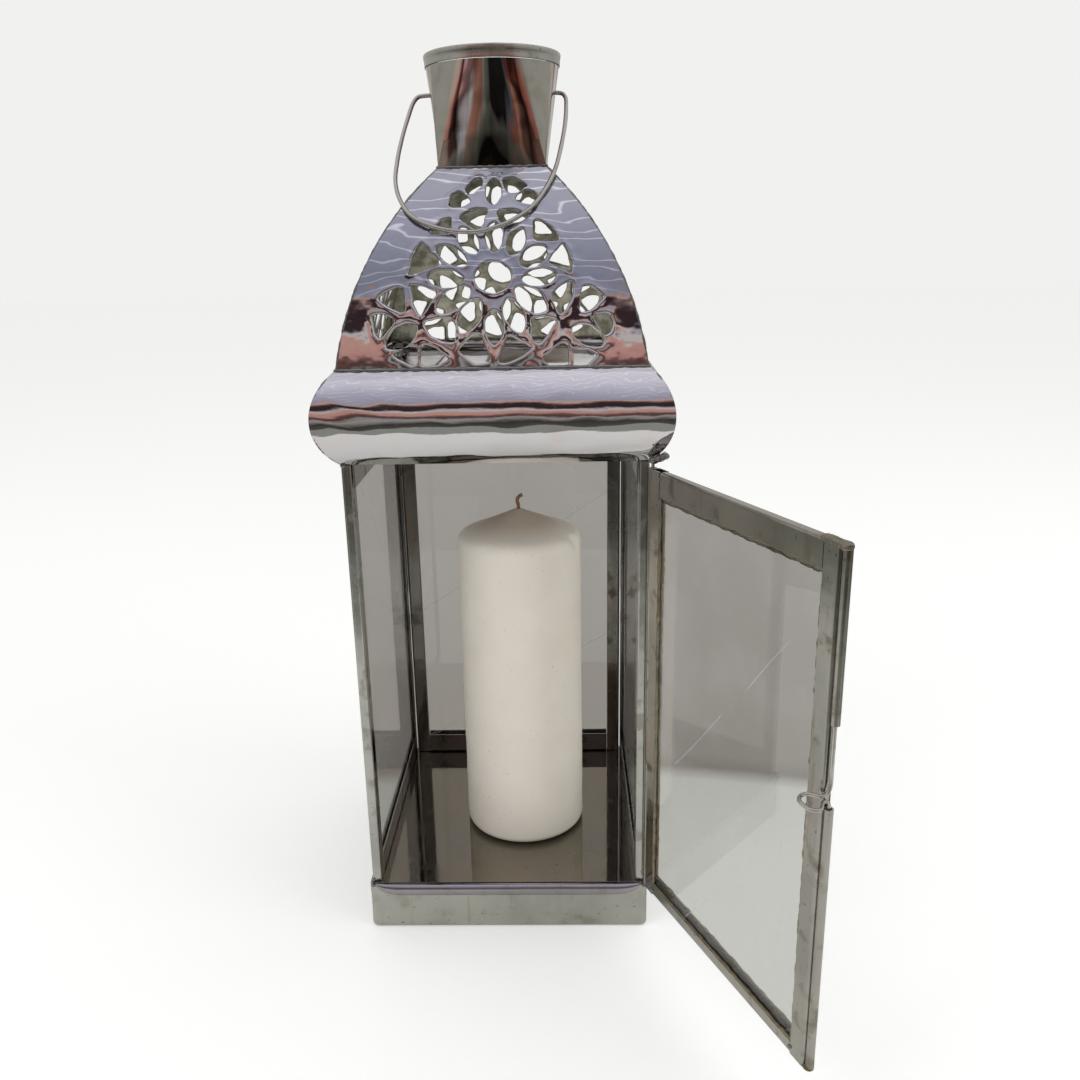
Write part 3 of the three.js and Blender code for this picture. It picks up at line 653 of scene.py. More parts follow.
# %% [markdown]
# ## Base and sill
#
# The base is a shallow pan folded from one sheet, so its lower edge is a small radius and its
# walls are not quite flat. The floor plate is its lid, and the lid's front edge is rolled down
# over the pan in a half-round bead that dies away at both corners. Rounded squares stacked
# from the middle of the underside, up the wall and down its inside give the pan.

# %% The base pan
SHEET = 0.8
BASE_CORNER = 3.0
FOLD_RADIUS = 1.7


def rounded_square(half, radius, z, per_corner=6, per_side=20):
    ring = []
    inner = half - radius
    for turn in range(4):
        c, s = [(1, 0), (0, 1), (-1, 0), (0, -1)][turn]
        for i in range(per_side):
            along = inner * (2 * i / per_side - 1)
            ring.append((half * c - along * s, half * s + along * c, z))
        for i in range(per_corner):
            angle = math.pi / 2 * i / per_corner
            x, y = inner + radius * math.cos(angle), inner + radius * math.sin(angle)
            ring.append((x * c - y * s, x * s + y * c, z))
    return ring


def base_pan():
    low, high = box_mm("base_tray")
    half, top = high.x, high.z
    lip = 0.25
    levels = [(half - 3 * FOLD_RADIUS, 0.0)]
    for i in range(7):
        angle = math.pi / 2 * i / 6
        levels.append((half - FOLD_RADIUS * (1 - math.sin(angle)), FOLD_RADIUS * (1 - math.cos(angle))))
    levels += [(half, FOLD_RADIUS + (top - FOLD_RADIUS - lip) * i / 9) for i in range(1, 10)]
    levels += [(half - lip, top), (half - SHEET, top), (half - SHEET, SHEET)]
    rings = []
    for h, z in levels:
        ring = []
        for x, y, _ in rounded_square(h, max(0.4, BASE_CORNER - (half - h)), z):
            dent = 0.5 * abs(uneven((x, y, z), 24, 1.0)) * math.sin(math.pi * z / top)
            ring.append((x * (1 - dent / half), y * (1 - dent / half), z))
        rings.append(ring)
    return skin("base_pan", rings, BASE_TIN)


stands_for(base_pan(), "lantern", "tinned_sheet", "base_tray")

# %% The rolled sill bead
def sill():
    low, high = box_mm("sill_bead")
    taper, stations, around = 13.0, 60, 14
    back, proud = high.y, high.y - low.y
    rings = []
    for i in range(stations + 1):
        x = low.x + (high.x - low.x) * (1 - math.cos(math.pi * i / stations)) / 2
        part = min(1.0, (high.x - abs(x)) / taper)
        full = max(0.10, math.sqrt(1 - (1 - part) ** 2))
        rise = full * (high.z - low.z) / 2
        wobble = 1 - 0.05 * abs(uneven((x, 0, 0), 17, 1.0))
        ring = []
        for j in range(around + 1):
            angle = math.pi * (j / around - 0.5)
            ring.append((x, back - wobble * full * proud * math.cos(angle),
                         high.z - rise + rise * math.sin(angle)))
        rings.append(ring)
    return skin("rolled_sill_bead", rings, SILL_TIN)


stands_for(sill(), "lantern", "bright_plate", "sill_bead")

# %% [markdown]
# ## Frames
#
# Every stile and rail is a folded channel, and its shape is already right in the frame. What
# it lacks is an edge: folded sheet never has a razor corner, and the fine bright line along a
# fold is what makes it read as metal. So each one is copied, its flat facets are joined up
# again, and a small live bevel rounds the edges. A Weighted Normal modifier after it keeps the
# wide faces flat to the eye. Faces that look in at the candle get a second, darker finish, which
# is painted shade for the inside of the lantern.

# %% Channels, gussets and floor with softened edges
SOFT_EDGE = 0.16   # mm
FLAT_ANGLE, EDGE_ANGLE = 0.5, 38   # degrees: facets to join, and corners to round
INWARD_FACING = 0.45   # how squarely a face must look inward to get the painted shade


def softened(node_name, material, body, inward_shaded=False):
    """The frame's own piece with rounded edges; if asked, painted shade where it faces inwards."""
    source = frame["nodes"][node_name].data
    work = bmesh.new()
    work.from_mesh(source)
    bmesh.ops.remove_doubles(work, verts=work.verts[:], dist=2e-6)
    bmesh.ops.dissolve_limit(work, angle_limit=math.radians(FLAT_ANGLE),
                             verts=work.verts[:], edges=work.edges[:])
    mesh = bpy.data.meshes.new(node_name + "_folded")
    work.to_mesh(mesh)
    work.free()
    mesh.materials.append(material)
    mesh.shade_smooth()
    if inward_shaded:
        # Inward-facing faces get the darker finish, which is painted shade.
        mesh.materials.append(INWARD_SHADE_TIN)
        for face in mesh.polygons:
            inward = -Vector((face.center.x, face.center.y, 0)).normalized()
            face.material_index = int(face.normal.dot(inward) > INWARD_FACING)
    piece = bpy.data.objects.new(node_name + "_folded", mesh)
    scene.collection.objects.link(piece)
    rounding = piece.modifiers.new("soft_edge", "BEVEL")
    rounding.width = SOFT_EDGE * MM
    rounding.segments = 2
    rounding.limit_method = "ANGLE"
    rounding.angle_limit = math.radians(EDGE_ANGLE)
    flats = piece.modifiers.new("flat_faces", "WEIGHTED_NORMAL")
    flats.weight = 100
    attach(piece, body)
    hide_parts(node_name)
    return piece


folded = 0
for node_name in sorted(frame["nodes"]):
    hung = node_name.startswith("door_")
    if node_name.endswith(("_stile", "_rail", "_gusset")):
        softened(node_name, DOOR_TIN if hung else FRAME_TIN, "door" if hung else "lantern",
                 inward_shaded=not hung)
        folded += 1
    elif node_name.endswith("_glass"):
        pane = frame["nodes"][node_name]
        pane.data.materials.clear()
        pane.data.materials.append(GLASS)
softened("floor_plate", FLOOR_TIN, "lantern")
print("folded channels and gussets:", folded)

# %% [markdown]
# ## Cornice
#
# Four lengths of half-round moulding, mitred at the corners. Each is a section, out round the
# front and back along the inside, carried from one mitre to the other: the section's width at
# each height decides how far it runs. Rolled by hand over a form, it is a little uneven, and a
# polished half-round shows that as wandering highlights.

# %% Half-round moulding
CORNICE_RADIUS = 24.3
MITRE_GAP = 0.06
SIDES = ["front", "right", "back", "left"]


def turned(points, quarter_turns):
    c, s = [(1, 0), (0, 1), (-1, 0), (0, -1)][quarter_turns]
    return [(x * c - y * s, x * s + y * c, z) for x, y, z in points]


def arc_points(centre, z, radius, start, end, steps):
    return [(centre + radius * math.cos(start + (end - start) * i / steps),
             z + radius * math.sin(start + (end - start) * i / steps)) for i in range(steps + 1)]


def moulding_section(low, high):
    outermost, middle_z = -low.y, (low.z + high.z) / 2
    centre, flange = outermost - CORNICE_RADIUS, -high.y
    bottom = math.asin((low.z - middle_z) / CORNICE_RADIUS)
    inner = CORNICE_RADIUS - SHEET
    tucked = math.asin((low.z + SHEET - middle_z) / inner)
    return ([(flange, low.z)]
            + arc_points(centre, middle_z, CORNICE_RADIUS, bottom, -bottom, 44)
            + [(flange, high.z), (flange, high.z - SHEET)]
            + arc_points(centre, middle_z, inner, -tucked, tucked, 20)
            + [(flange, low.z + SHEET)])


def moulding(name, quarter_turns):
    low, high = box_mm("cornice_front")
    section = moulding_section(low, high)
    stations = 72
    rings = []
    for i in range(stations + 1):
        share = -math.cos(math.pi * i / stations)
        calm = 1 - share ** 10
        ring = []
        for half, z in section:
            dent = calm * 0.45 * abs(uneven((share * 70, z * 2.2, 7.0 * quarter_turns), 21, 1.0))
            half_here = half - dent
            ring.append((share * (half_here - MITRE_GAP), -half_here, z))
        rings.append(turned(ring, quarter_turns))
    return skin(name, rings, PLATE)


for quarter, side in enumerate(SIDES):
    stands_for(moulding("cornice_moulding_" + side, quarter), "lantern", "bright_plate",
               "cornice_" + side)

# %% [markdown]
# ## The pierced dome
#
# Each side of the dome is one sheet, cut through with three rosettes and bent to an arc. The
# bars left between the holes were flooded with solder, so they are rounded and lumpy, with a
# bright raised lip round each hole. A boolean cut would leave sharp prisms. Here the sheet is
# meshed flat, with a triangle net that knows how far each point is from the nearest hole, and
# with rings of points close round each hole, where the shape changes most. That distance rolls
# the edge over, on both faces, and raises the lip, and then the sheet is bent.
#
# Petals are pointed ovals, each with a centre, a length, a width and a direction. The gaps
# between them are corners joined by straight runs, with the corners softened. Both are then made
# a little ragged, as hand-cut holes are.

# %% The holes, across and up the sheet in mm
DOME_CENTRE, DOME_Z, DOME_RADIUS = -72.0, 248.9, 137.5
DOME_LOW, DOME_HIGH = box_mm("dome_front")[0].z, box_mm("dome_front")[1].z

EYE = (1.0, 37.6, 7.4, 6.6)
PETALS = [   # across, up, length, width, direction in degrees
    (1.5, 55.3, 12.5, 6.6, 90), (10.6, 53.0, 11.5, 6.6, 66), (17.8, 46.2, 11.5, 7.6, 34),
    (20.0, 37.2, 12.5, 6.6, 8), (16.4, 28.0, 14.0, 7.8, -38), (9.6, 21.4, 13.5, 6.8, -66),
    (1.3, 16.6, 12.8, 6.8, 90), (-8.6, 21.6, 13.8, 7.4, 60), (-15.4, 28.4, 15.0, 7.4, 34),
    (-18.5, 37.2, 13.5, 6.8, -5), (-16.0, 47.2, 13.0, 6.6, -32), (-9.2, 53.8, 12.5, 7.0, -62),
    (1.0, 78.0, 12.5, 6.2, 90), (-37.0, 13.6, 13.5, 7.8, 34), (39.5, 12.8, 12.5, 6.6, -30),
]
GAPS = [
    [(-13.3, 64.6), (-6.9, 68.8), (-1.4, 68.4), (-4.7, 59.2), (-6.9, 59.6)],
    [(2.3, 67.2), (8.9, 68.4), (15.8, 65.0), (11.7, 62.4), (5.3, 61.2)],
    [(-24.8, 57.4), (-21.1, 63.0), (-16.8, 64.4), (-16.4, 58.4), (-17.9, 57.2)],
    [(18.4, 62.6), (20.6, 62.5), (26.1, 57.9), (28.1, 53.1), (17.9, 53.6)],
    [(-28.0, 53.2), (-24.6, 48.2), (-20.4, 44.0), (-25.3, 42.0), (-33.5, 39.0), (-32.4, 45.0),
     (-30.5, 50.2)],
    [(29.5, 51.3), (31.8, 47.9), (33.2, 43.2), (32.7, 39.0), (28.5, 41.2), (24.2, 43.6), (26.0, 46.6)],
    [(-32.9, 35.0), (-27.4, 33.5), (-22.4, 31.3), (-25.3, 27.1), (-28.7, 21.8), (-31.5, 27.1)],
    [(33.2, 35.0), (33.5, 29.3), (31.0, 24.3), (28.6, 22.0), (26.0, 26.4), (25.3, 30.0), (28.0, 32.6)],
    [(-13.3, 8.1), (-5.6, 14.5), (-3.5, 10.7), (-0.9, 3.1), (-6.7, 2.6), (-10.3, 5.0)],
    [(7.2, 12.9), (10.6, 11.4), (16.4, 8.1), (12.1, 4.9), (6.7, 2.8), (2.9, 2.8), (4.8, 7.9)],
    [(-27.2, 18.9), (-21.5, 20.2), (-16.4, 20.4), (-15.0, 16.8), (-15.2, 11.2), (-21.0, 12.0),
     (-24.6, 14.4)],
    [(16.6, 20.1), (21.0, 20.3), (26.5, 19.0), (23.5, 14.3), (19.9, 10.2), (17.2, 11.6)],
    [(-28.1, 9.9), (-25.1, 9.4), (-17.8, 4.5), (-22.3, 2.1), (-28.2, 1.9), (-29.5, 3.6)],
    [(29.1, 9.8), (31.1, 8.6), (31.6, 1.0), (24.6, 0.9), (21.2, 3.6)],
    [(-46.9, 29.4), (-40.6, 33.1), (-35.8, 33.2), (-35.3, 24.2), (-37.4, 23.8)],
    [(-49.0, 22.2), (-45.3, 22.8), (-39.7, 20.4), (-42.6, 16.4), (-45.4, 13.0), (-47.8, 15.7)],
    [(-40.5, 6.3), (-34.6, 8.9), (-31.0, 9.1), (-30.8, 2.8), (-32.4, 1.6), (-34.8, 2.8)],
    [(37.5, 32.5), (40.5, 32.8), (46.2, 28.3), (41.7, 24.1), (36.7, 22.3)],
    [(41.6, 20.9), (48.6, 21.6), (49.8, 17.2), (48.8, 14.3), (46.0, 13.1)],
    [(33.8, 7.3), (38.9, 6.9), (43.3, 5.0), (38.9, 0.7), (34.1, 0.6)],
    [(-11.0, 80.0), (-7.2, 84.4), (-4.5, 85.0), (-4.2, 81.2), (-7.2, 77.2), (-9.4, 76.9)],
    [(5.0, 84.7), (9.6, 85.0), (14.8, 81.1), (11.0, 77.4), (7.6, 76.7), (6.1, 80.0)],
    [(-13.6, 78.4), (-8.8, 73.2), (-11.1, 70.5), (-17.3, 70.3), (-17.0, 75.7)],
    [(15.3, 78.4), (18.7, 76.5), (19.2, 72.1), (17.8, 70.2), (10.4, 73.1), (11.7, 75.8)],
]


def oval(across, upward, wide, tall, steps=36):
    return [(across + wide * math.cos(2 * math.pi * i / steps),
             upward + tall * math.sin(2 * math.pi * i / steps)) for i in range(steps)]


def petal(across, upward, length, width, direction, steps=36, point=1.35):
    """A pointed oval: the power pinches its two ends."""
    c, s = math.cos(math.radians(direction)), math.sin(math.radians(direction))
    outline = []
    for i in range(steps):
        turn = 2 * math.pi * i / steps
        along = length / 2 * math.cos(turn)
        aside = width / 2 * math.copysign(abs(math.sin(turn)) ** point, math.sin(turn))
        outline.append((across + along * c - aside * s, upward + along * s + aside * c))
    return outline


def softened_corners(corners, rounds=2, cut=0.15):
    """Cuts each corner off again and again, which curves the outline."""
    for _ in range(rounds):
        after = []
        for (x0, y0), (x1, y1) in zip(corners, corners[1:] + corners[:1]):
            after.append((x0 + (x1 - x0) * cut, y0 + (y1 - y0) * cut))
            after.append((x1 + (x0 - x1) * cut, y1 + (y0 - y1) * cut))
        corners = after
    return corners


def ragged(outline, seed):
    """Moves the points of an outline about by a fraction of a millimetre, smoothly."""
    return [(x + uneven((x, y, seed), 3.4, 0.45), y + uneven((x, y, seed + 9.5), 3.4, 0.45))
            for x, y in outline]


def grown_outline(outline, by):
    """The outline scaled about its middle."""
    x0, y0 = np.mean(outline, axis=0)
    return [(x0 + (x - x0) * by, y0 + (y - y0) * by) for x, y in outline]


def evenly_spaced(outline, step=0.75):
    """The same outline with a point about every `step` mm."""
    spaced = []
    for (x0, y0), (x1, y1) in zip(outline, outline[1:] + outline[:1]):
        parts = max(1, round(math.hypot(x1 - x0, y1 - y0) / step))
        spaced += [(x0 + (x1 - x0) * i / parts, y0 + (y1 - y0) * i / parts) for i in range(parts)]
    return spaced


PETAL_GROWTH, GAP_GROWTH = 1.12, 1.08   # makes up for the lips that the bars gain
HOLES = [ragged(evenly_spaced(oval(*EYE)), 1.0)]
HOLES += [ragged(evenly_spaced(grown_outline(petal(*p), PETAL_GROWTH)), 2.0 + i)
          for i, p in enumerate(PETALS)]
HOLES += [ragged(evenly_spaced(grown_outline(softened_corners(g), GAP_GROWTH)), 40.0 + i)
          for i, g in enumerate(GAPS)]
print("holes in each side of the dome:", len(HOLES))

# %% A triangle net round the holes
FOOT_ANGLE = math.asin((268.0 - DOME_Z) / DOME_RADIUS)
NET = 1.35                        # mm between the net's points
LIP_RINGS = (0.22, 0.5, 0.85, 1.3)  # mm from a hole's edge where the net has rings of points


def up_sheet(z):
    return (math.asin((z - DOME_Z) / DOME_RADIUS) - FOOT_ANGLE) * DOME_RADIUS


def half_width(s):
    return DOME_CENTRE + DOME_RADIUS * math.cos(FOOT_ANGLE + s / DOME_RADIUS) - MITRE_GAP


def inside_of(outline, points):
    """Which of the points lie within the outline, by counting the edges to their right."""
    crossed = np.zeros(len(points), bool)
    corners = np.array(outline)
    for (x0, y0), (x1, y1) in zip(corners, np.roll(corners, -1, axis=0)):
        if y0 == y1:
            continue
        spans = (points[:, 1] < y0) != (points[:, 1] < y1)
        crossed ^= spans & (points[:, 0] < x0 + (x1 - x0) * (points[:, 1] - y0) / (y1 - y0))
    return crossed


def edge_distance(points, outlines):
    """How far each point is from the nearest edge of the outlines."""
    nearest = np.full(len(points), 1e9)
    for outline in outlines:
        a = np.array(outline)
        b = np.roll(a, -1, axis=0)
        step = b - a
        for start, run in zip(a, step):
            share = np.clip(((points - start) @ run) / (run @ run), 0, 1)
            nearest = np.minimum(nearest, np.linalg.norm(points - start - share[:, None] * run, axis=1))
    return nearest


def widened(outline, by):
    """The outline moved outwards by so many millimetres."""
    points = np.array(outline)
    along = np.roll(points, -1, axis=0) - np.roll(points, 1, axis=0)
    out = np.stack([along[:, 1], -along[:, 0]], axis=1)
    out /= np.linalg.norm(out, axis=1)[:, None] + 1e-9
    if inside_of(outline, (points + 0.05 * out)).mean() > 0.5:
        out = -out
    return [tuple(p) for p in points + by * out]


def flat_net():
    """Points, triangles, distance to the nearest hole, and which points are on the border."""
    s0, s1 = up_sheet(DOME_LOW), up_sheet(DOME_HIGH)
    rows = int((s1 - s0) / NET)
    left = [(-half_width(s0 + (s1 - s0) * i / rows), s0 + (s1 - s0) * i / rows) for i in range(rows + 1)]
    across_top = int(2 * half_width(s1) / NET)
    across_foot = int(2 * half_width(s0) / NET)
    top = [(half_width(s1) * (2 * i / across_top - 1), s1) for i in range(1, across_top)]
    rightward = [(-x, s) for x, s in reversed(left)]
    foot = [(half_width(s0) * (1 - 2 * i / across_foot), s0) for i in range(1, across_foot)]
    border = left + top + rightward + foot
    grid = []
    for row in range(int((s1 - s0) / (NET * 0.87))):
        s = s0 + row * NET * 0.87
        offset = NET / 2 if row % 2 else 0.0
        grid += [(x, s) for x in np.arange(-66 + offset, 66, NET)]
    grid = np.array(grid)
    clear = inside_of(border, grid) & (edge_distance(grid, [border]) > 0.55 * NET)
    for outline in HOLES:
        clear &= ~inside_of(outline, grid)
    grid = grid[clear]
    grid = [grid[edge_distance(grid, HOLES) > LIP_RINGS[-1] + 0.5]]
    for far in LIP_RINGS:
        ring = np.array([p for outline in HOLES for p in widened(outline, far)])
        ring = ring[inside_of(border, ring) & (edge_distance(ring, [border]) > 0.5)]
        away = edge_distance(ring, HOLES)
        in_hole = np.zeros(len(ring), bool)
        for outline in HOLES:
            in_hole |= inside_of(outline, ring)
        ring = ring[~in_hole & (away > 0.93 * far)]
        grid.append(ring)
    grid = np.concatenate(grid)
    points, edges = [], []
    for outline in [border] + HOLES:
        first = len(points)
        points += outline
        edges += [(first + i, first + (i + 1) % len(outline)) for i in range(len(outline))]
    points += [tuple(p) for p in grid]
    placed, _, triangles, *_ = delaunay_2d_cdt([Vector(p) for p in points], edges, [], 0, 1e-5)
    placed = np.array([tuple(p) for p in placed])
    triangles = np.array(triangles)
    centres = placed[triangles].mean(axis=1)
    kept = inside_of(border, centres)
    for outline in HOLES:
        kept &= ~inside_of(outline, centres)
    distance = edge_distance(placed, HOLES)
    on_border = edge_distance(placed, [border]) < 1e-3
    return placed, triangles[kept], distance, on_border


NET_POINTS, NET_FACES, NET_DISTANCE, NET_BORDER = flat_net()
narrowest = min(edge_distance(np.array(hole), HOLES[:i] + HOLES[i + 1:]).min()
                for i, hole in enumerate(HOLES))
print("narrowest bar between holes:", round(float(narrowest), 2), "mm")
print("net:", len(NET_POINTS), "points,", len(NET_FACES), "triangles")

# %% Rounded, bent and turned to its side
LIP, LIP_HEIGHT, EDGE_DEPTH, BACK_DEPTH = 0.85, 0.20, 0.55, 1.25   # mm


def bent(x, s, lift):
    """A point across and up the sheet, lifted off its face, in its place on the front side."""
    angle = FOOT_ANGLE + s / DOME_RADIUS
    reach = DOME_RADIUS + lift
    narrowed = 1 + lift * math.cos(angle) / half_width(s)
    return (x * narrowed, -(DOME_CENTRE + reach * math.cos(angle)), DOME_Z + reach * math.sin(angle))


def pierced_side(name, quarter_turns):
    full = np.clip(NET_DISTANCE / LIP, 0, 1)
    rounded = np.sqrt(1 - (1 - full) ** 2)
    past_lip = np.clip((NET_DISTANCE - LIP) / 1.1, 0, 1)
    hollow = LIP_HEIGHT * past_lip ** 2 * (3 - 2 * past_lip)
    rim = NET_DISTANCE < 1e-4
    count = len(NET_POINTS)
    front, back, back_index = [], [], np.arange(count)
    bars = 1 - np.clip((NET_DISTANCE - 3.0) / 3.0, 0, 1)
    for i, (x, s) in enumerate(NET_POINTS):
        lumps = uneven((x, s, 11.0 * quarter_turns), 4.5, 0.20) * rounded[i] * bars[i]
        wave = uneven((x / 3.0, s, 3.0), 6.0, 0.05) * (1 - bars[i])
        swell = -EDGE_DEPTH + (EDGE_DEPTH + LIP_HEIGHT) * rounded[i] - hollow[i] + lumps + wave
        front.append(bent(x, s, swell))
        if not rim[i]:
            back_index[i] = count + len(back)
            back.append(bent(x, s, -EDGE_DEPTH - (BACK_DEPTH - EDGE_DEPTH) * rounded[i] - 0.4 * lumps))
    faces = [tuple(int(v) for v in t) for t in NET_FACES]
    faces += [tuple(int(back_index[v]) for v in reversed(t)) for t in NET_FACES]
    once = {}
    for a, b, c in NET_FACES:
        for edge in ((a, b), (b, c), (c, a)):
            key = tuple(sorted(map(int, edge)))
            once[key] = None if key in once else tuple(map(int, edge))
    for edge in once.values():
        if edge and NET_BORDER[edge[0]] and NET_BORDER[edge[1]]:
            a, b = edge
            faces.append((b, a, int(back_index[a]), int(back_index[b])))
    piece = new_piece(name, turned(front + back, quarter_turns), faces, LACE, sharp_degrees=60)
    shade = piece.data.attributes.new("inside", "FLOAT", "POINT")
    shade.data.foreach_set("value", [0.0] * len(front) + [1.0] * len(back))
    return piece


for quarter, side in enumerate(SIDES):
    stands_for(pierced_side("pierced_dome_" + side, quarter), "lantern", "bright_plate",
               "dome_" + side)

# %% [markdown]
# ## Chimney
#
# The chimney goes from a square foot to a round mouth. A tinsmith folds it from one sheet, so
# it is made of straight lines only: a flat on each side, and a cone from each foot corner to
# the round mouth above it. Straight lines between matching points of the square and the circle
# give exactly that. It is one wall folded over at the mouth, so the rings go up the outside
# and down the inside. The handle's holes are cut with a boolean, which is then applied. Last,
# each point is told how far across and up its flat it is, and whether it is on a cone, because
# the sheet's finish follows the folds.

# %% Square-to-round chimney
FLAT_ANGLE_AT_MOUTH = math.radians(25)
CHIMNEY_MOUTH = 28.9
CHIMNEY_FOOT = 23.0   # half the foot's width
HANDLE_HOLE = 1.4


def foot_and_mouth(half, radius, per_flat=12, per_cone=10):
    """Matching points round the square foot and the round mouth."""
    pairs = []
    for quarter_turns in range(4):
        spread = [(2 * i / per_flat - 1) for i in range(per_flat)]
        side = [((half, part * half), part * FLAT_ANGLE_AT_MOUTH) for part in spread]
        cone = math.pi / 2 - 2 * FLAT_ANGLE_AT_MOUTH
        side += [((half, half), FLAT_ANGLE_AT_MOUTH + cone * i / per_cone) for i in range(per_cone)]
        for (x, y), angle in side:
            foot = turned([(x, y, 0)], quarter_turns)[0]
            mouth = turned([(radius * math.cos(angle), radius * math.sin(angle), 0)], quarter_turns)[0]
            pairs.append((foot, mouth))
    return pairs


def chimney_rings(low, high, half, radius, levels):
    rings = []
    for i in range(levels + 1):
        share = i / levels
        ring = []
        for foot, mouth in foot_and_mouth(half, radius):
            x = foot[0] + (mouth[0] - foot[0]) * share
            y = foot[1] + (mouth[1] - foot[1]) * share
            dent = 1 - 0.010 * abs(uneven((x, y, 40 * share), 12, 1.0)) * math.sin(math.pi * share)
            ring.append((x * dent, y * dent, low + (high - low) * share))
        rings.append(ring)
    return rings


def cut_through(piece, cutter):
    """Takes the cutter's shape out of the piece and leaves a plain mesh."""
    cut = piece.modifiers.new("cut", "BOOLEAN")
    cut.object, cut.operation, cut.solver = cutter, "DIFFERENCE", "EXACT"
    bpy.context.view_layer.update()
    done = bpy.data.meshes.new_from_object(
        piece.evaluated_get(bpy.context.evaluated_depsgraph_get()))
    piece.modifiers.remove(cut)
    piece.data = done
    bpy.data.objects.remove(cutter)


def rod(name, radius, ends, along_z, sides=28):
    """A round rod along X at a height, used as a cutter."""
    rings = [[(x, radius * math.cos(2 * math.pi * i / sides),
               along_z + radius * math.sin(2 * math.pi * i / sides)) for i in range(sides)]
             for x in ends]
    return skin(name, rings, SOLDER)


def mark_folds(mesh, low, high):
    """Writes how far across its flat, how far up and how much in a cone each point is."""
    fold = mesh.attributes.new("fold", "FLOAT_VECTOR", "POINT")
    mouth_half = CHIMNEY_MOUTH * math.sin(FLAT_ANGLE_AT_MOUTH)
    values = []
    for vertex in mesh.vertices:
        x, y, z = vertex.co / MM
        share = (z - low) / (high - low)
        wide, narrow = max(abs(x), abs(y)), min(abs(x), abs(y))
        flat_half = CHIMNEY_FOOT + (mouth_half - CHIMNEY_FOOT) * share
        across = (x if abs(y) > abs(x) else y) / flat_half
        cone = min(1.0, max(0.0, (narrow - flat_half) / 0.5 + 0.5))
        values += [across, share, cone]
    fold.data.foreach_set("vector", values)


chimney_low, chimney_high = box_mm("chimney")
outer_wall = chimney_rings(chimney_low.z, chimney_high.z, CHIMNEY_FOOT, CHIMNEY_MOUTH, 26)
inner_wall = chimney_rings(chimney_low.z, chimney_high.z, CHIMNEY_FOOT - SHEET, CHIMNEY_MOUTH - SHEET, 26)
chimney = skin("square_to_round_chimney", outer_wall + inner_wall[::-1], CHIMNEY_PLATE, closed=True,
               sharp_degrees=24)
handle_z = next(j for j in frame["joints"] if j["name"] == "bail_pivot")["pos_m"][2] / MM
cut_through(chimney, rod("handle_hole_cutter", HANDLE_HOLE, (-40, 40), handle_z))
mark_folds(chimney.data, chimney_low.z, chimney_high.z)
stands_for(chimney, "lantern", "bright_plate", "chimney")

# %% The rolled rim
def rolled_rim():
    low, high = box_mm("chimney_rim")
    outer, bottom, top = high.x, low.z, high.z
    inner, bead = outer - 1.6, 0.8
    section = [(inner, bottom), (outer - 0.45, bottom), (outer - 0.35, bottom + 1.2),
               (outer - 0.35, top - 2.6), (outer - 0.15, top - 2.1)]
    section += [(outer - bead + bead * math.cos(a), top - bead + bead * math.sin(a))
                for a in [math.pi * i / 12 for i in range(13)]]
    rings = []
    for i in range(120):
        angle = 2 * math.pi * i / 120
        ring = []
        for radius, z in section:
            r = radius - 0.12 * abs(uneven((20 * math.cos(angle), 20 * math.sin(angle), z), 6, 1.0))
            ring.append((r * math.cos(angle), r * math.sin(angle), z))
        rings.append(ring)
    return skin("rolled_chimney_rim", rings, FRAME_TIN, closed=True)


stands_for(rolled_rim(), "lantern", "tinned_sheet", "chimney_rim")

# %% [markdown]
# ## Wires and solder seams
#
# The handle, the catch and the hinge wire are round wire bent by hand, and every solder seam is
# a lumpy bead laid along an edge. Both are a round section carried along a path, so one
# Geometry Nodes tree makes them all. It spaces points evenly along the path, swells and thins
# the section, pushes the skin about with noise, and closes the ends. A wire asks for almost
# no lumps, and a seam asks for a lot.

# %% A tree that carries a round section along a path
def socket_id(tree, name):
    return next(s.identifier for s in tree.interface.items_tree if s.name == name)


def new_tree(name, inputs):
    """A Geometry Nodes tree with named inputs, and its two end nodes."""
    tree = bpy.data.node_groups.new(name, "GeometryNodeTree")
    tree.interface.new_socket("Geometry", in_out="INPUT", socket_type="NodeSocketGeometry")
    for label, (kind, default) in inputs.items():
        made = tree.interface.new_socket(label, in_out="INPUT", socket_type="NodeSocket" + kind)
        if default is not None:
            made.default_value = default
    tree.interface.new_socket("Geometry", in_out="OUTPUT", socket_type="NodeSocketGeometry")
    return tree, tree.nodes.new("NodeGroupInput")


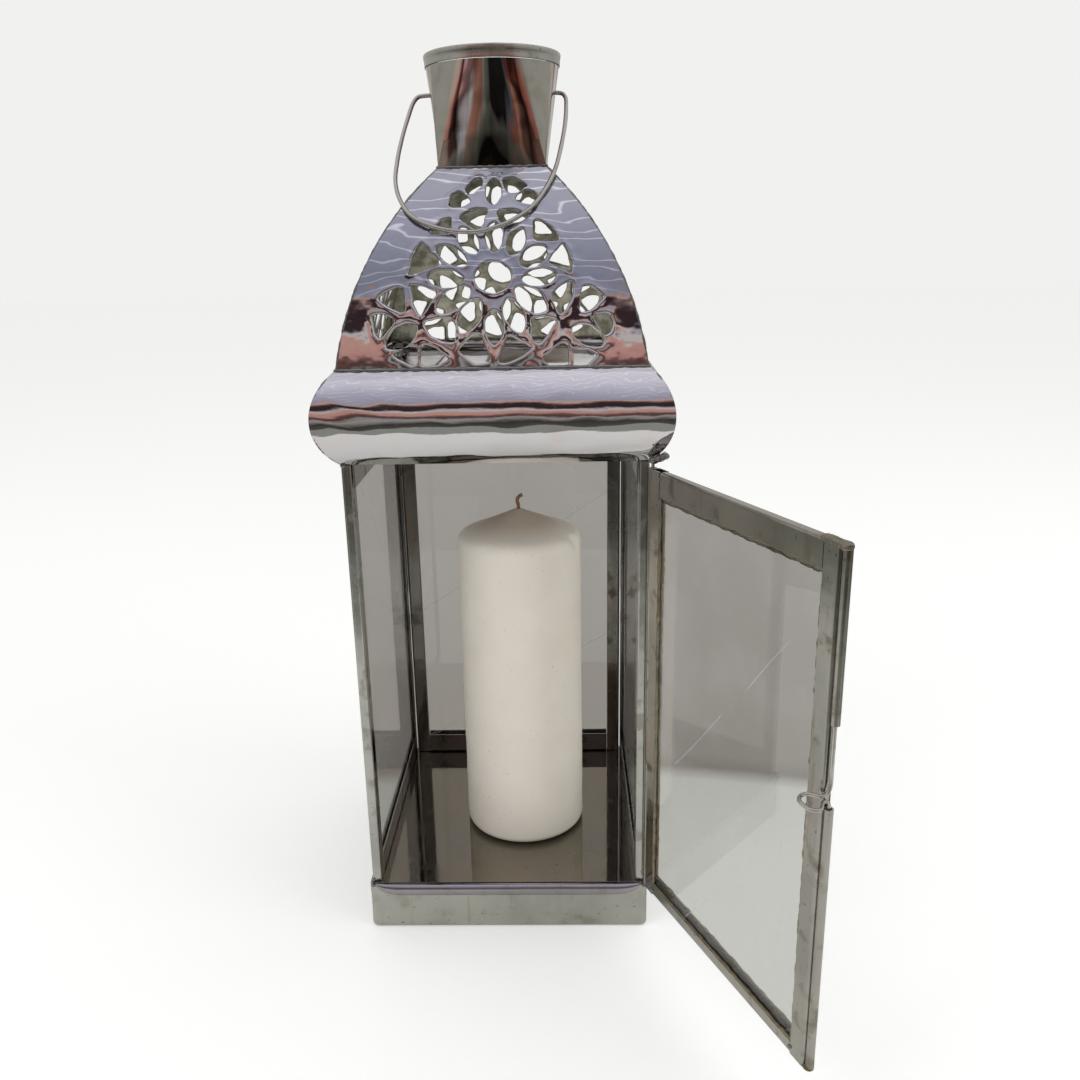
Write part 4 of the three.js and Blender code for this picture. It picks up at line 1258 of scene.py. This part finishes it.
def round_bar_tree():
    tree, given = new_tree("round_bar_along_path", {
        "Radius": ("Float", 1 * MM), "Spacing": ("Float", 1 * MM), "Swell": ("Float", 0.0),
        "Lump Size": ("Float", 2 * MM), "Lump Height": ("Float", 0.0), "Sides": ("Int", 16),
        "Seed": ("Float", 0.0), "Material": ("Material", None)})
    spaced = node(tree, "GeometryNodeResampleCurve", {
        "Curve": given.outputs["Geometry"], "Length": given.outputs["Spacing"]}, mode="LENGTH")
    places = node(tree, "GeometryNodeInputPosition").outputs[0]
    per_lump = node(tree, "ShaderNodeMath", {0: 1.0, 1: given.outputs["Lump Size"]}, operation="DIVIDE")
    wander = node(tree, "ShaderNodeTexNoise", {
        "Vector": places, "W": given.outputs["Seed"], "Scale": per_lump.outputs[0], "Detail": 1.0},
        noise_dimensions="4D")
    swollen = node(tree, "ShaderNodeMapRange", {
        "Value": wander.outputs[0], "From Min": 0.3, "From Max": 0.7, "To Min": -1.0, "To Max": 1.0})
    share = node(tree, "ShaderNodeMath", {
        0: swollen.outputs[0], 1: given.outputs["Swell"], 2: 1.0}, operation="MULTIPLY_ADD")
    ring = node(tree, "GeometryNodeCurvePrimitiveCircle", {
        "Resolution": given.outputs["Sides"], "Radius": given.outputs["Radius"]})
    bar = node(tree, "GeometryNodeCurveToMesh", {
        "Curve": spaced.outputs[0], "Profile Curve": ring.outputs[0], "Fill Caps": True,
        "Scale": share.outputs[0]})
    lumps = node(tree, "ShaderNodeTexNoise", {
        "Vector": places, "W": given.outputs["Seed"], "Scale": per_lump.outputs[0], "Detail": 3.0},
        noise_dimensions="4D")
    centred = node(tree, "ShaderNodeMath", {0: lumps.outputs[0], 1: 0.5}, operation="SUBTRACT")
    lift = node(tree, "ShaderNodeMath", {
        0: centred.outputs[0], 1: given.outputs["Lump Height"]}, operation="MULTIPLY")
    normal = node(tree, "GeometryNodeInputNormal").outputs[0]
    push = node(tree, "ShaderNodeVectorMath", {0: normal, "Scale": lift.outputs[0]}, operation="SCALE")
    pushed = node(tree, "GeometryNodeSetPosition", {"Geometry": bar.outputs[0], "Offset": push.outputs[0]})
    smooth = node(tree, "GeometryNodeSetShadeSmooth", {"Geometry": pushed.outputs[0]})
    real = node(tree, "GeometryNodeRealizeInstances", {"Geometry": smooth.outputs[0]})
    dressed = node(tree, "GeometryNodeSetMaterial", {
        "Geometry": real.outputs[0], "Material": given.outputs["Material"]})
    node(tree, "NodeGroupOutput", {"Geometry": dressed.outputs[0]})
    return tree


ROUND_BAR = round_bar_tree()


def grown(name, source, tree, values):
    """Runs a tree on an object, and returns the result as a plain mesh object of that name."""
    maker = source.modifiers.new("maker", "NODES")
    maker.node_group = tree
    for label, value in values.items():
        maker[socket_id(tree, label)] = value
    bpy.context.view_layer.update()
    result = source.evaluated_get(bpy.context.evaluated_depsgraph_get())
    mesh = bpy.data.meshes.new_from_object(result)
    bpy.data.objects.remove(source)
    piece = bpy.data.objects.new(name, mesh)
    scene.collection.objects.link(piece)
    return piece


def paths(name, routes, closed=False):
    """A curve object with one spline for each list of points in millimetres."""
    curve = bpy.data.curves.new(name + "_path", "CURVE")
    curve.dimensions = "3D"
    for route in routes:
        spline = curve.splines.new("POLY")
        spline.points.add(len(route) - 1)
        for point, place in zip(spline.points, route):
            point.co = (*[c * MM for c in place], 1.0)
        spline.use_cyclic_u = closed
    thing = bpy.data.objects.new(name + "_path", curve)
    scene.collection.objects.link(thing)
    return thing


def smooth_route(points, steps=14):
    """A centripetal Catmull-Rom curve through the points."""
    given = [Vector(p) for p in points]
    given = [2 * given[0] - given[1]] + given + [2 * given[-1] - given[-2]]
    route = []
    for p0, p1, p2, p3 in zip(given, given[1:], given[2:], given[3:]):
        gaps = [max(1e-6, (b - a).length ** 0.5) for a, b in ((p0, p1), (p1, p2), (p2, p3))]
        start = (p1 - p0) / gaps[0] - (p2 - p0) / (gaps[0] + gaps[1]) + (p2 - p1) / gaps[1]
        end = (p2 - p1) / gaps[1] - (p3 - p1) / (gaps[1] + gaps[2]) + (p3 - p2) / gaps[2]
        start, end = start * gaps[1], end * gaps[1]
        for i in range(steps):
            t = i / steps
            route.append(p1 + start * t + (3 * (p2 - p1) - 2 * start - end) * t ** 2
                         + (2 * (p1 - p2) + start + end) * t ** 3)
    return route + [given[-2]]


def wire(name, points, radius, seed):
    return grown(name, paths(name, [smooth_route(points)]), ROUND_BAR, {
        "Radius": radius * MM, "Spacing": 0.6 * MM, "Swell": 0.03, "Lump Size": 9 * MM,
        "Lump Height": 0.10 * MM, "Sides": 16, "Seed": seed, "Material": WIRE})


def seam(name, routes, radius, lump_height, seed, closed=False, material=SOLDER):
    return grown(name, paths(name, routes, closed), ROUND_BAR, {
        "Radius": radius * MM, "Spacing": 0.5 * MM, "Swell": 0.35, "Lump Size": 3.2 * MM,
        "Lump Height": lump_height * MM, "Sides": 12, "Seed": seed, "Material": material})


print("tree inputs:", [s.name for s in ROUND_BAR.interface.items_tree if s.in_out == "INPUT"])

# %% The wire handle
# Points are across, and down from the pivot. The handle leans forward until it meets the dome.
HANDLE_LEAN = math.radians(40)
HANDLE_BENDS = [
    (-24.5, 0), (-29.5, 0), (-32.8, 0.7), (-34.6, 3.4), (-36.8, 13), (-38.8, 25), (-40.1, 37.5),
    (-40.2, 48.5), (-37.9, 57.7), (-32.6, 66.6), (-23.9, 72.2), (-13.5, 75), (-5, 75.2),
    (2.2, 73.2), (9.6, 69.4), (17.3, 62.6), (22.6, 53.9), (26.6, 44), (29.6, 30), (31.5, 16),
    (31.9, 8), (31.7, 3), (30.4, 0.6), (28.4, 0), (24.5, 0),
]
handle = wire("bent_wire_handle", [
    (x, -down * math.sin(HANDLE_LEAN), handle_z - down * math.cos(HANDLE_LEAN))
    for x, down in HANDLE_BENDS], 0.9, 2.0)
stands_for(handle, "bail", "iron_wire", "bail")

# %% The catch wire and the hinge wire
hinge = next(j for j in frame["joints"] if j["name"] == "door_hinge")["pos_m"]
catch = next(j for j in frame["joints"] if j["name"] == "latch_spring")["pos_m"]
HINGE_AT = Vector((hinge[0], hinge[1], 0)) / MM
FREE_EDGE_AT = Vector((catch[0], catch[1], 0)) / MM
ALONG_DOOR = (HINGE_AT - FREE_EDGE_AT).normalized()
OFF_DOOR = Vector((-ALONG_DOOR.y, ALONG_DOOR.x, 0))


def at_free_edge(along, off, z):
    return FREE_EDGE_AT + ALONG_DOOR * along + OFF_DOOR * off + Vector((0, 0, z))


CATCH_Z, CATCH_REACH, CATCH_HALF, CATCH_TAIL, SLOT_TOP = 138.4, 11.0, 4.2, 24.0, 165.0
catch_wire = wire("catch_wire", [
    at_free_edge(0, 0, SLOT_TOP + CATCH_TAIL), at_free_edge(0, 0, SLOT_TOP),
    at_free_edge(0, 0, CATCH_Z + 12), at_free_edge(0, 0, CATCH_Z + 4),
    at_free_edge(0, 1, CATCH_Z + 1.6), at_free_edge(0.3, 3.4, CATCH_Z + 1),
    at_free_edge(CATCH_HALF * 0.8, 0.55 * CATCH_REACH, CATCH_Z + 0.9),
    at_free_edge(CATCH_HALF, 0.75 * CATCH_REACH, CATCH_Z + 0.6),
    at_free_edge(CATCH_HALF * 0.7, 0.94 * CATCH_REACH, CATCH_Z + 0.3),
    at_free_edge(0, CATCH_REACH, CATCH_Z),
    at_free_edge(-CATCH_HALF * 0.7, 0.94 * CATCH_REACH, CATCH_Z - 0.3),
    at_free_edge(-CATCH_HALF, 0.75 * CATCH_REACH, CATCH_Z - 0.6),
    at_free_edge(-CATCH_HALF * 0.8, 0.55 * CATCH_REACH, CATCH_Z - 0.9),
    at_free_edge(-0.6, 3.2, CATCH_Z - 1), at_free_edge(0, 1, CATCH_Z - 1.5),
    at_free_edge(0, 0, CATCH_Z - 3.2), at_free_edge(0, 0, CATCH_Z - 4.4),
    at_free_edge(0, 0, CATCH_Z - 12), at_free_edge(0, 0, CATCH_Z - CATCH_TAIL)], 0.7, 4.0)
stands_for(catch_wire, "latch", "iron_wire", "latch_wire")

floor_top = box_mm("floor_plate")[1].z
hinge_pin = wire("hinge_wire_pin", [
    HINGE_AT + Vector(p) for p in [
        (0, 0, floor_top + 0.5), (0, 0, 90), (0, 0, 160), (0, 0, 227), (0, 0, 228.4),
        (0.7, -0.8, 230.1), (2.5, -2.6, 231.9), (4.6, -4.6, 233.8)]], 0.7, 6.0)
stands_for(hinge_pin, "lantern", "iron_wire", "hinge_wire")

# %% [markdown]
# ## Solder
#
# Soft solder closes every mitre and fixes the dome, cornice and chimney to each other. The
# seams run over the joints and stand a few tenths of a millimetre proud. A browned bead also
# runs round the pane in the door, on both its faces. Single drops hold the hinge wire and the
# ends of the sill bead, so a second tree turns loose points, each with its own size, into
# squashed drops, and a row of drops caps the door's free corners.

# %% Solder seams along the mitres and joints
CORNERS = [(1, -1), (1, 1), (-1, 1), (-1, -1)]


def corner_route(outline):
    """The outline, a list of half-width and height, at each of the four corners."""
    return [[(sx * half, sy * half, z) for half, z in outline] for sx, sy in CORNERS]


def square_route(half, z):
    return [[(sx * half, sy * half, z) for sx, sy in CORNERS]]


dome_edge = [(half_width(s) - 0.15, bent(0, s, 0)[2]) for s in np.linspace(0.2, up_sheet(DOME_HIGH), 40)]
cornice_low, cornice_high = box_mm("cornice_front")
cornice_edge = moulding_section(cornice_low, cornice_high)[1:46]
cornice_edge = [(half - 0.55, z) for half, z in cornice_edge]
SEAMS = [
    seam("dome_mitre_solder", corner_route(dome_edge), 0.42, 0.25, 1.0),
    seam("cornice_mitre_solder", corner_route(cornice_edge), 0.42, 0.3, 2.0),
    seam("dome_foot_solder", square_route(half_width(0) + 0.25, DOME_LOW - 0.2), 0.8, 0.5, 3.0, True),
    seam("chimney_foot_solder", square_route(CHIMNEY_FOOT + 0.1, chimney_low.z - 0.2), 0.7, 0.5, 4.0, True),
]
for made in SEAMS:
    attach(made, "lantern")
print("solder seams:", [(s.name, len(s.data.polygons)) for s in SEAMS])

# %% Solder drops from loose points
def drop_tree():
    """Each point becomes a drop, made real early so that its own surface can be pushed about."""
    tree, given = new_tree("solder_drops_on_points", {
        "Squash": ("Float", 0.7), "Lump Height": ("Float", 0.4 * MM), "Seed": ("Float", 0.0),
        "Material": ("Material", None)})
    size = node(tree, "GeometryNodeInputNamedAttribute", {"Name": "size"}, data_type="FLOAT").outputs[0]
    ball = node(tree, "GeometryNodeMeshIcoSphere", {"Radius": 1.0, "Subdivisions": 4})
    flat = node(tree, "ShaderNodeCombineXYZ", {"X": 1.0, "Y": 1.0, "Z": given.outputs["Squash"]})
    scale = node(tree, "ShaderNodeVectorMath", {0: flat.outputs[0], "Scale": size}, operation="SCALE")
    placed = node(tree, "GeometryNodeInstanceOnPoints", {
        "Points": given.outputs["Geometry"], "Instance": ball.outputs[0], "Scale": scale.outputs[0]})
    loose = node(tree, "GeometryNodeRealizeInstances", {"Geometry": placed.outputs[0]})
    places = node(tree, "GeometryNodeInputPosition").outputs[0]
    lumps = node(tree, "ShaderNodeTexNoise", {
        "Vector": places, "W": given.outputs["Seed"], "Scale": every(3.2), "Detail": 1.0},
        noise_dimensions="4D")
    centred = node(tree, "ShaderNodeMath", {0: lumps.outputs[0], 1: 0.5}, operation="SUBTRACT")
    lift = node(tree, "ShaderNodeMath", {
        0: centred.outputs[0], 1: given.outputs["Lump Height"]}, operation="MULTIPLY")
    normal = node(tree, "GeometryNodeInputNormal").outputs[0]
    push = node(tree, "ShaderNodeVectorMath", {0: normal, "Scale": lift.outputs[0]}, operation="SCALE")
    pushed = node(tree, "GeometryNodeSetPosition", {"Geometry": loose.outputs[0], "Offset": push.outputs[0]})
    smooth = node(tree, "GeometryNodeSetShadeSmooth", {"Geometry": pushed.outputs[0]})
    real = node(tree, "GeometryNodeRealizeInstances", {"Geometry": smooth.outputs[0]})
    dressed = node(tree, "GeometryNodeSetMaterial", {
        "Geometry": real.outputs[0], "Material": given.outputs["Material"]})
    node(tree, "NodeGroupOutput", {"Geometry": dressed.outputs[0]})
    return tree


def drops(name, places, seed, material=SOLDER):
    """places is a list of (x, y, z, size) in millimetres."""
    mesh = bpy.data.meshes.new(name + "_points")
    mesh.from_pydata([tuple(c * MM for c in p[:3]) for p in places], [], [])
    mesh.attributes.new("size", "FLOAT", "POINT").data.foreach_set("value", [p[3] * MM for p in places])
    thing = bpy.data.objects.new(name + "_points", mesh)
    scene.collection.objects.link(thing)
    return grown(name, thing, DROPS, {"Lump Height": 0.7 * MM, "Seed": seed, "Material": material})


DROPS = drop_tree()

# %% The bead round the door's pane
DOOR_LOW, DOOR_HIGH = box_mm("door_free_stile")[0].z, box_mm("door_free_stile")[1].z
BEAD_INSET, BEAD_PROUD = 8.8, 1.35   # mm in from the door's edges, and off its middle plane
UPWARD = Vector((0, 0, 1))


def pane_edge(face, low, high):
    """The four corners of the pane's visible edge, on one face of the door."""
    free = FREE_EDGE_AT + ALONG_DOOR * BEAD_INSET + face * BEAD_PROUD
    hung = HINGE_AT - ALONG_DOOR * BEAD_INSET + face * BEAD_PROUD
    return [free + UPWARD * low, hung + UPWARD * low, hung + UPWARD * high, free + UPWARD * high]


door_glazing = seam("door_glazing_bead", [
    pane_edge(OFF_DOOR, DOOR_LOW + 5.2, DOOR_HIGH - 10.4),
    pane_edge(-OFF_DOOR, DOOR_LOW + 9.2, DOOR_HIGH - 12.2),
], 0.75, 0.5, 5.0, True, GLAZING)
print("glazing bead:", len(door_glazing.data.polygons), "faces")

# %% Drops on the lantern and the door
sill_low, sill_high = box_mm("sill_bead")
body_half = -box_mm("left_wall_front_stile")[0].x


def on_door(along, off, z, size):
    """A drop at a place along the door from its free edge, and off its middle plane."""
    place = FREE_EDGE_AT + ALONG_DOOR * along + OFF_DOOR * off
    return (place.x, place.y, z, size)


lantern_drops = drops("lantern_solder_drops", [
    (sill_high.x + 1.6, sill_low.y + 2.4, sill_high.z - 1.2, 1.5),
    (sill_low.x - 1.0, sill_low.y + 2.6, sill_high.z - 1.0, 1.1),
    (HINGE_AT.x + 4.2, HINGE_AT.y - 4.2, 232.4, 2.0),
    (HINGE_AT.x + 2.4, HINGE_AT.y - 2.4, 231.2, 2.3),
    (HINGE_AT.x + 0.4, HINGE_AT.y - 0.2, 230.0, 2.4),
    (-body_half + 1.0, -body_half + 0.6, 228.4, 1.3), (body_half - 1, body_half - 0.6, 228.2, 1.4),
    (-body_half + 1.0, body_half - 0.6, 228.2, 1.4), (-body_half + 1.4, body_half - 1.4, 25.6, 1.3),
    (body_half - 1.4, body_half - 1.4, 25.6, 1.3), (-body_half + 0.4, -body_half - 0.1, 25.6, 1.0),
], 11.0)
door_drops = drops("door_solder_drops", [
    on_door(8.8, 2.0, DOOR_LOW + 3.0, 1.1), on_door(112.2, 2.0, DOOR_HIGH - 3.0, 1.1),
    on_door(112.2, 2.0, DOOR_LOW + 2.5, 1.2),
], 13.0)
door_corner = drops("door_corner_solder", [
    *[on_door(0.6 + 1.6 * i, 0.0, DOOR_HIGH - 0.9, 2.3) for i in range(7)],
    *[on_door(0.6 + 1.6 * i, 0.0, DOOR_LOW + 0.5, 2.2) for i in range(5)],
], 15.0, GLAZING)
for made, body in ((lantern_drops, "lantern"), (door_drops, "door"), (door_glazing, "door"),
                   (door_corner, "door")):
    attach(made, body)
print("solder drops:", len(lantern_drops.data.polygons), len(door_drops.data.polygons))

# %% [markdown]
# ## Candle
#
# A pillar candle is poured and turned out, so it is a plain round with a soft shoulder and a
# shallow cone on top, where the wax sank a little round the wick. This one has knocks: a chip
# is out of the shoulder. The outline is turned in fine steps, and each point is moved in or out
# by a smooth unevenness, and inwards near the chip.

# %% The candle
candle_low, candle_high = box_mm("candle")
CANDLE_CENTRE = (candle_low + candle_high) / 2
CANDLE_RADIUS = (candle_high.x - candle_low.x) / 2
SHOULDER = 177.0
CHIPS = [   # the way it faces in degrees, height, width, depth in mm
    (-24, 181.0, 5.5, 1.9), (-33, 183.2, 3.0, 1.1), (-118, 180.5, 3.5, 0.5), (-60, 110.0, 7.0, 0.25),
]


def candle_outline():
    edge, apex = 3.6, candle_high.z
    outline = [(4.0 * i, candle_low.z) for i in range(1, 7)]
    outline += [(CANDLE_RADIUS - edge + edge * math.sin(a), candle_low.z + edge * (1 - math.cos(a)))
                for a in [math.pi / 2 * i / 8 for i in range(9)]]
    outline += [(CANDLE_RADIUS, z) for z in np.linspace(candle_low.z + 7, SHOULDER, 36)]
    shoulder = [(0.1, 1.4), (0.45, 2.7), (1.1, 3.9), (2.1, 4.9), (3.5, 5.7), (5.4, 6.5), (8.0, 7.4)]
    outline += [(CANDLE_RADIUS - back, SHOULDER + rise) for back, rise in shoulder]
    start_radius, start_z = outline[-1]
    for i in range(1, 16):
        share = i / 16
        outline.append((start_radius * (1 - share), start_z + (apex - start_z) * share ** 1.04))
    return outline


def pillar_candle():
    rings = []
    around = 128
    for radius, z in candle_outline():
        ring = []
        for i in range(around):
            angle = 2 * math.pi * i / around
            x, y = math.cos(angle), math.sin(angle)
            r = radius - 0.35 * abs(uneven((30 * x, 30 * y, z), 26, 1.0)) * min(1, radius / 12)
            for facing, chip_z, width, depth in CHIPS:
                away = (math.degrees(angle) - facing + 180) % 360 - 180
                far = math.hypot(math.radians(away) * CANDLE_RADIUS, z - chip_z) / width
                if far < 1 and radius > 20:
                    r -= depth * (1 - far ** 2) ** 2
            ring.append((CANDLE_CENTRE.x + r * x, CANDLE_CENTRE.y + r * y, z))
        rings.append(ring)
    return skin("pillar_candle", rings, WAX, sharp_degrees=80)


stands_for(pillar_candle(), "candle", "wax", "candle")

# %% The wick
WICK_BENDS = [(0, 0, -2.5), (0.1, 0, 0.8), (-0.4, -0.1, 2.6), (-0.2, -0.2, 4.4), (0.9, -0.3, 5.7),
              (2.1, -0.3, 6.2)]
wick = grown("bent_wick", paths("bent_wick", [smooth_route([
    Vector((CANDLE_CENTRE.x, CANDLE_CENTRE.y, candle_high.z)) + Vector(p) for p in WICK_BENDS])]),
    ROUND_BAR, {"Radius": 0.85 * MM, "Spacing": 0.35 * MM, "Swell": 0.10, "Lump Size": 1.2 * MM,
                "Lump Height": 0.4 * MM, "Sides": 16, "Seed": 8.0, "Material": COTTON})
stands_for(wick, "candle", "cotton", "wick")
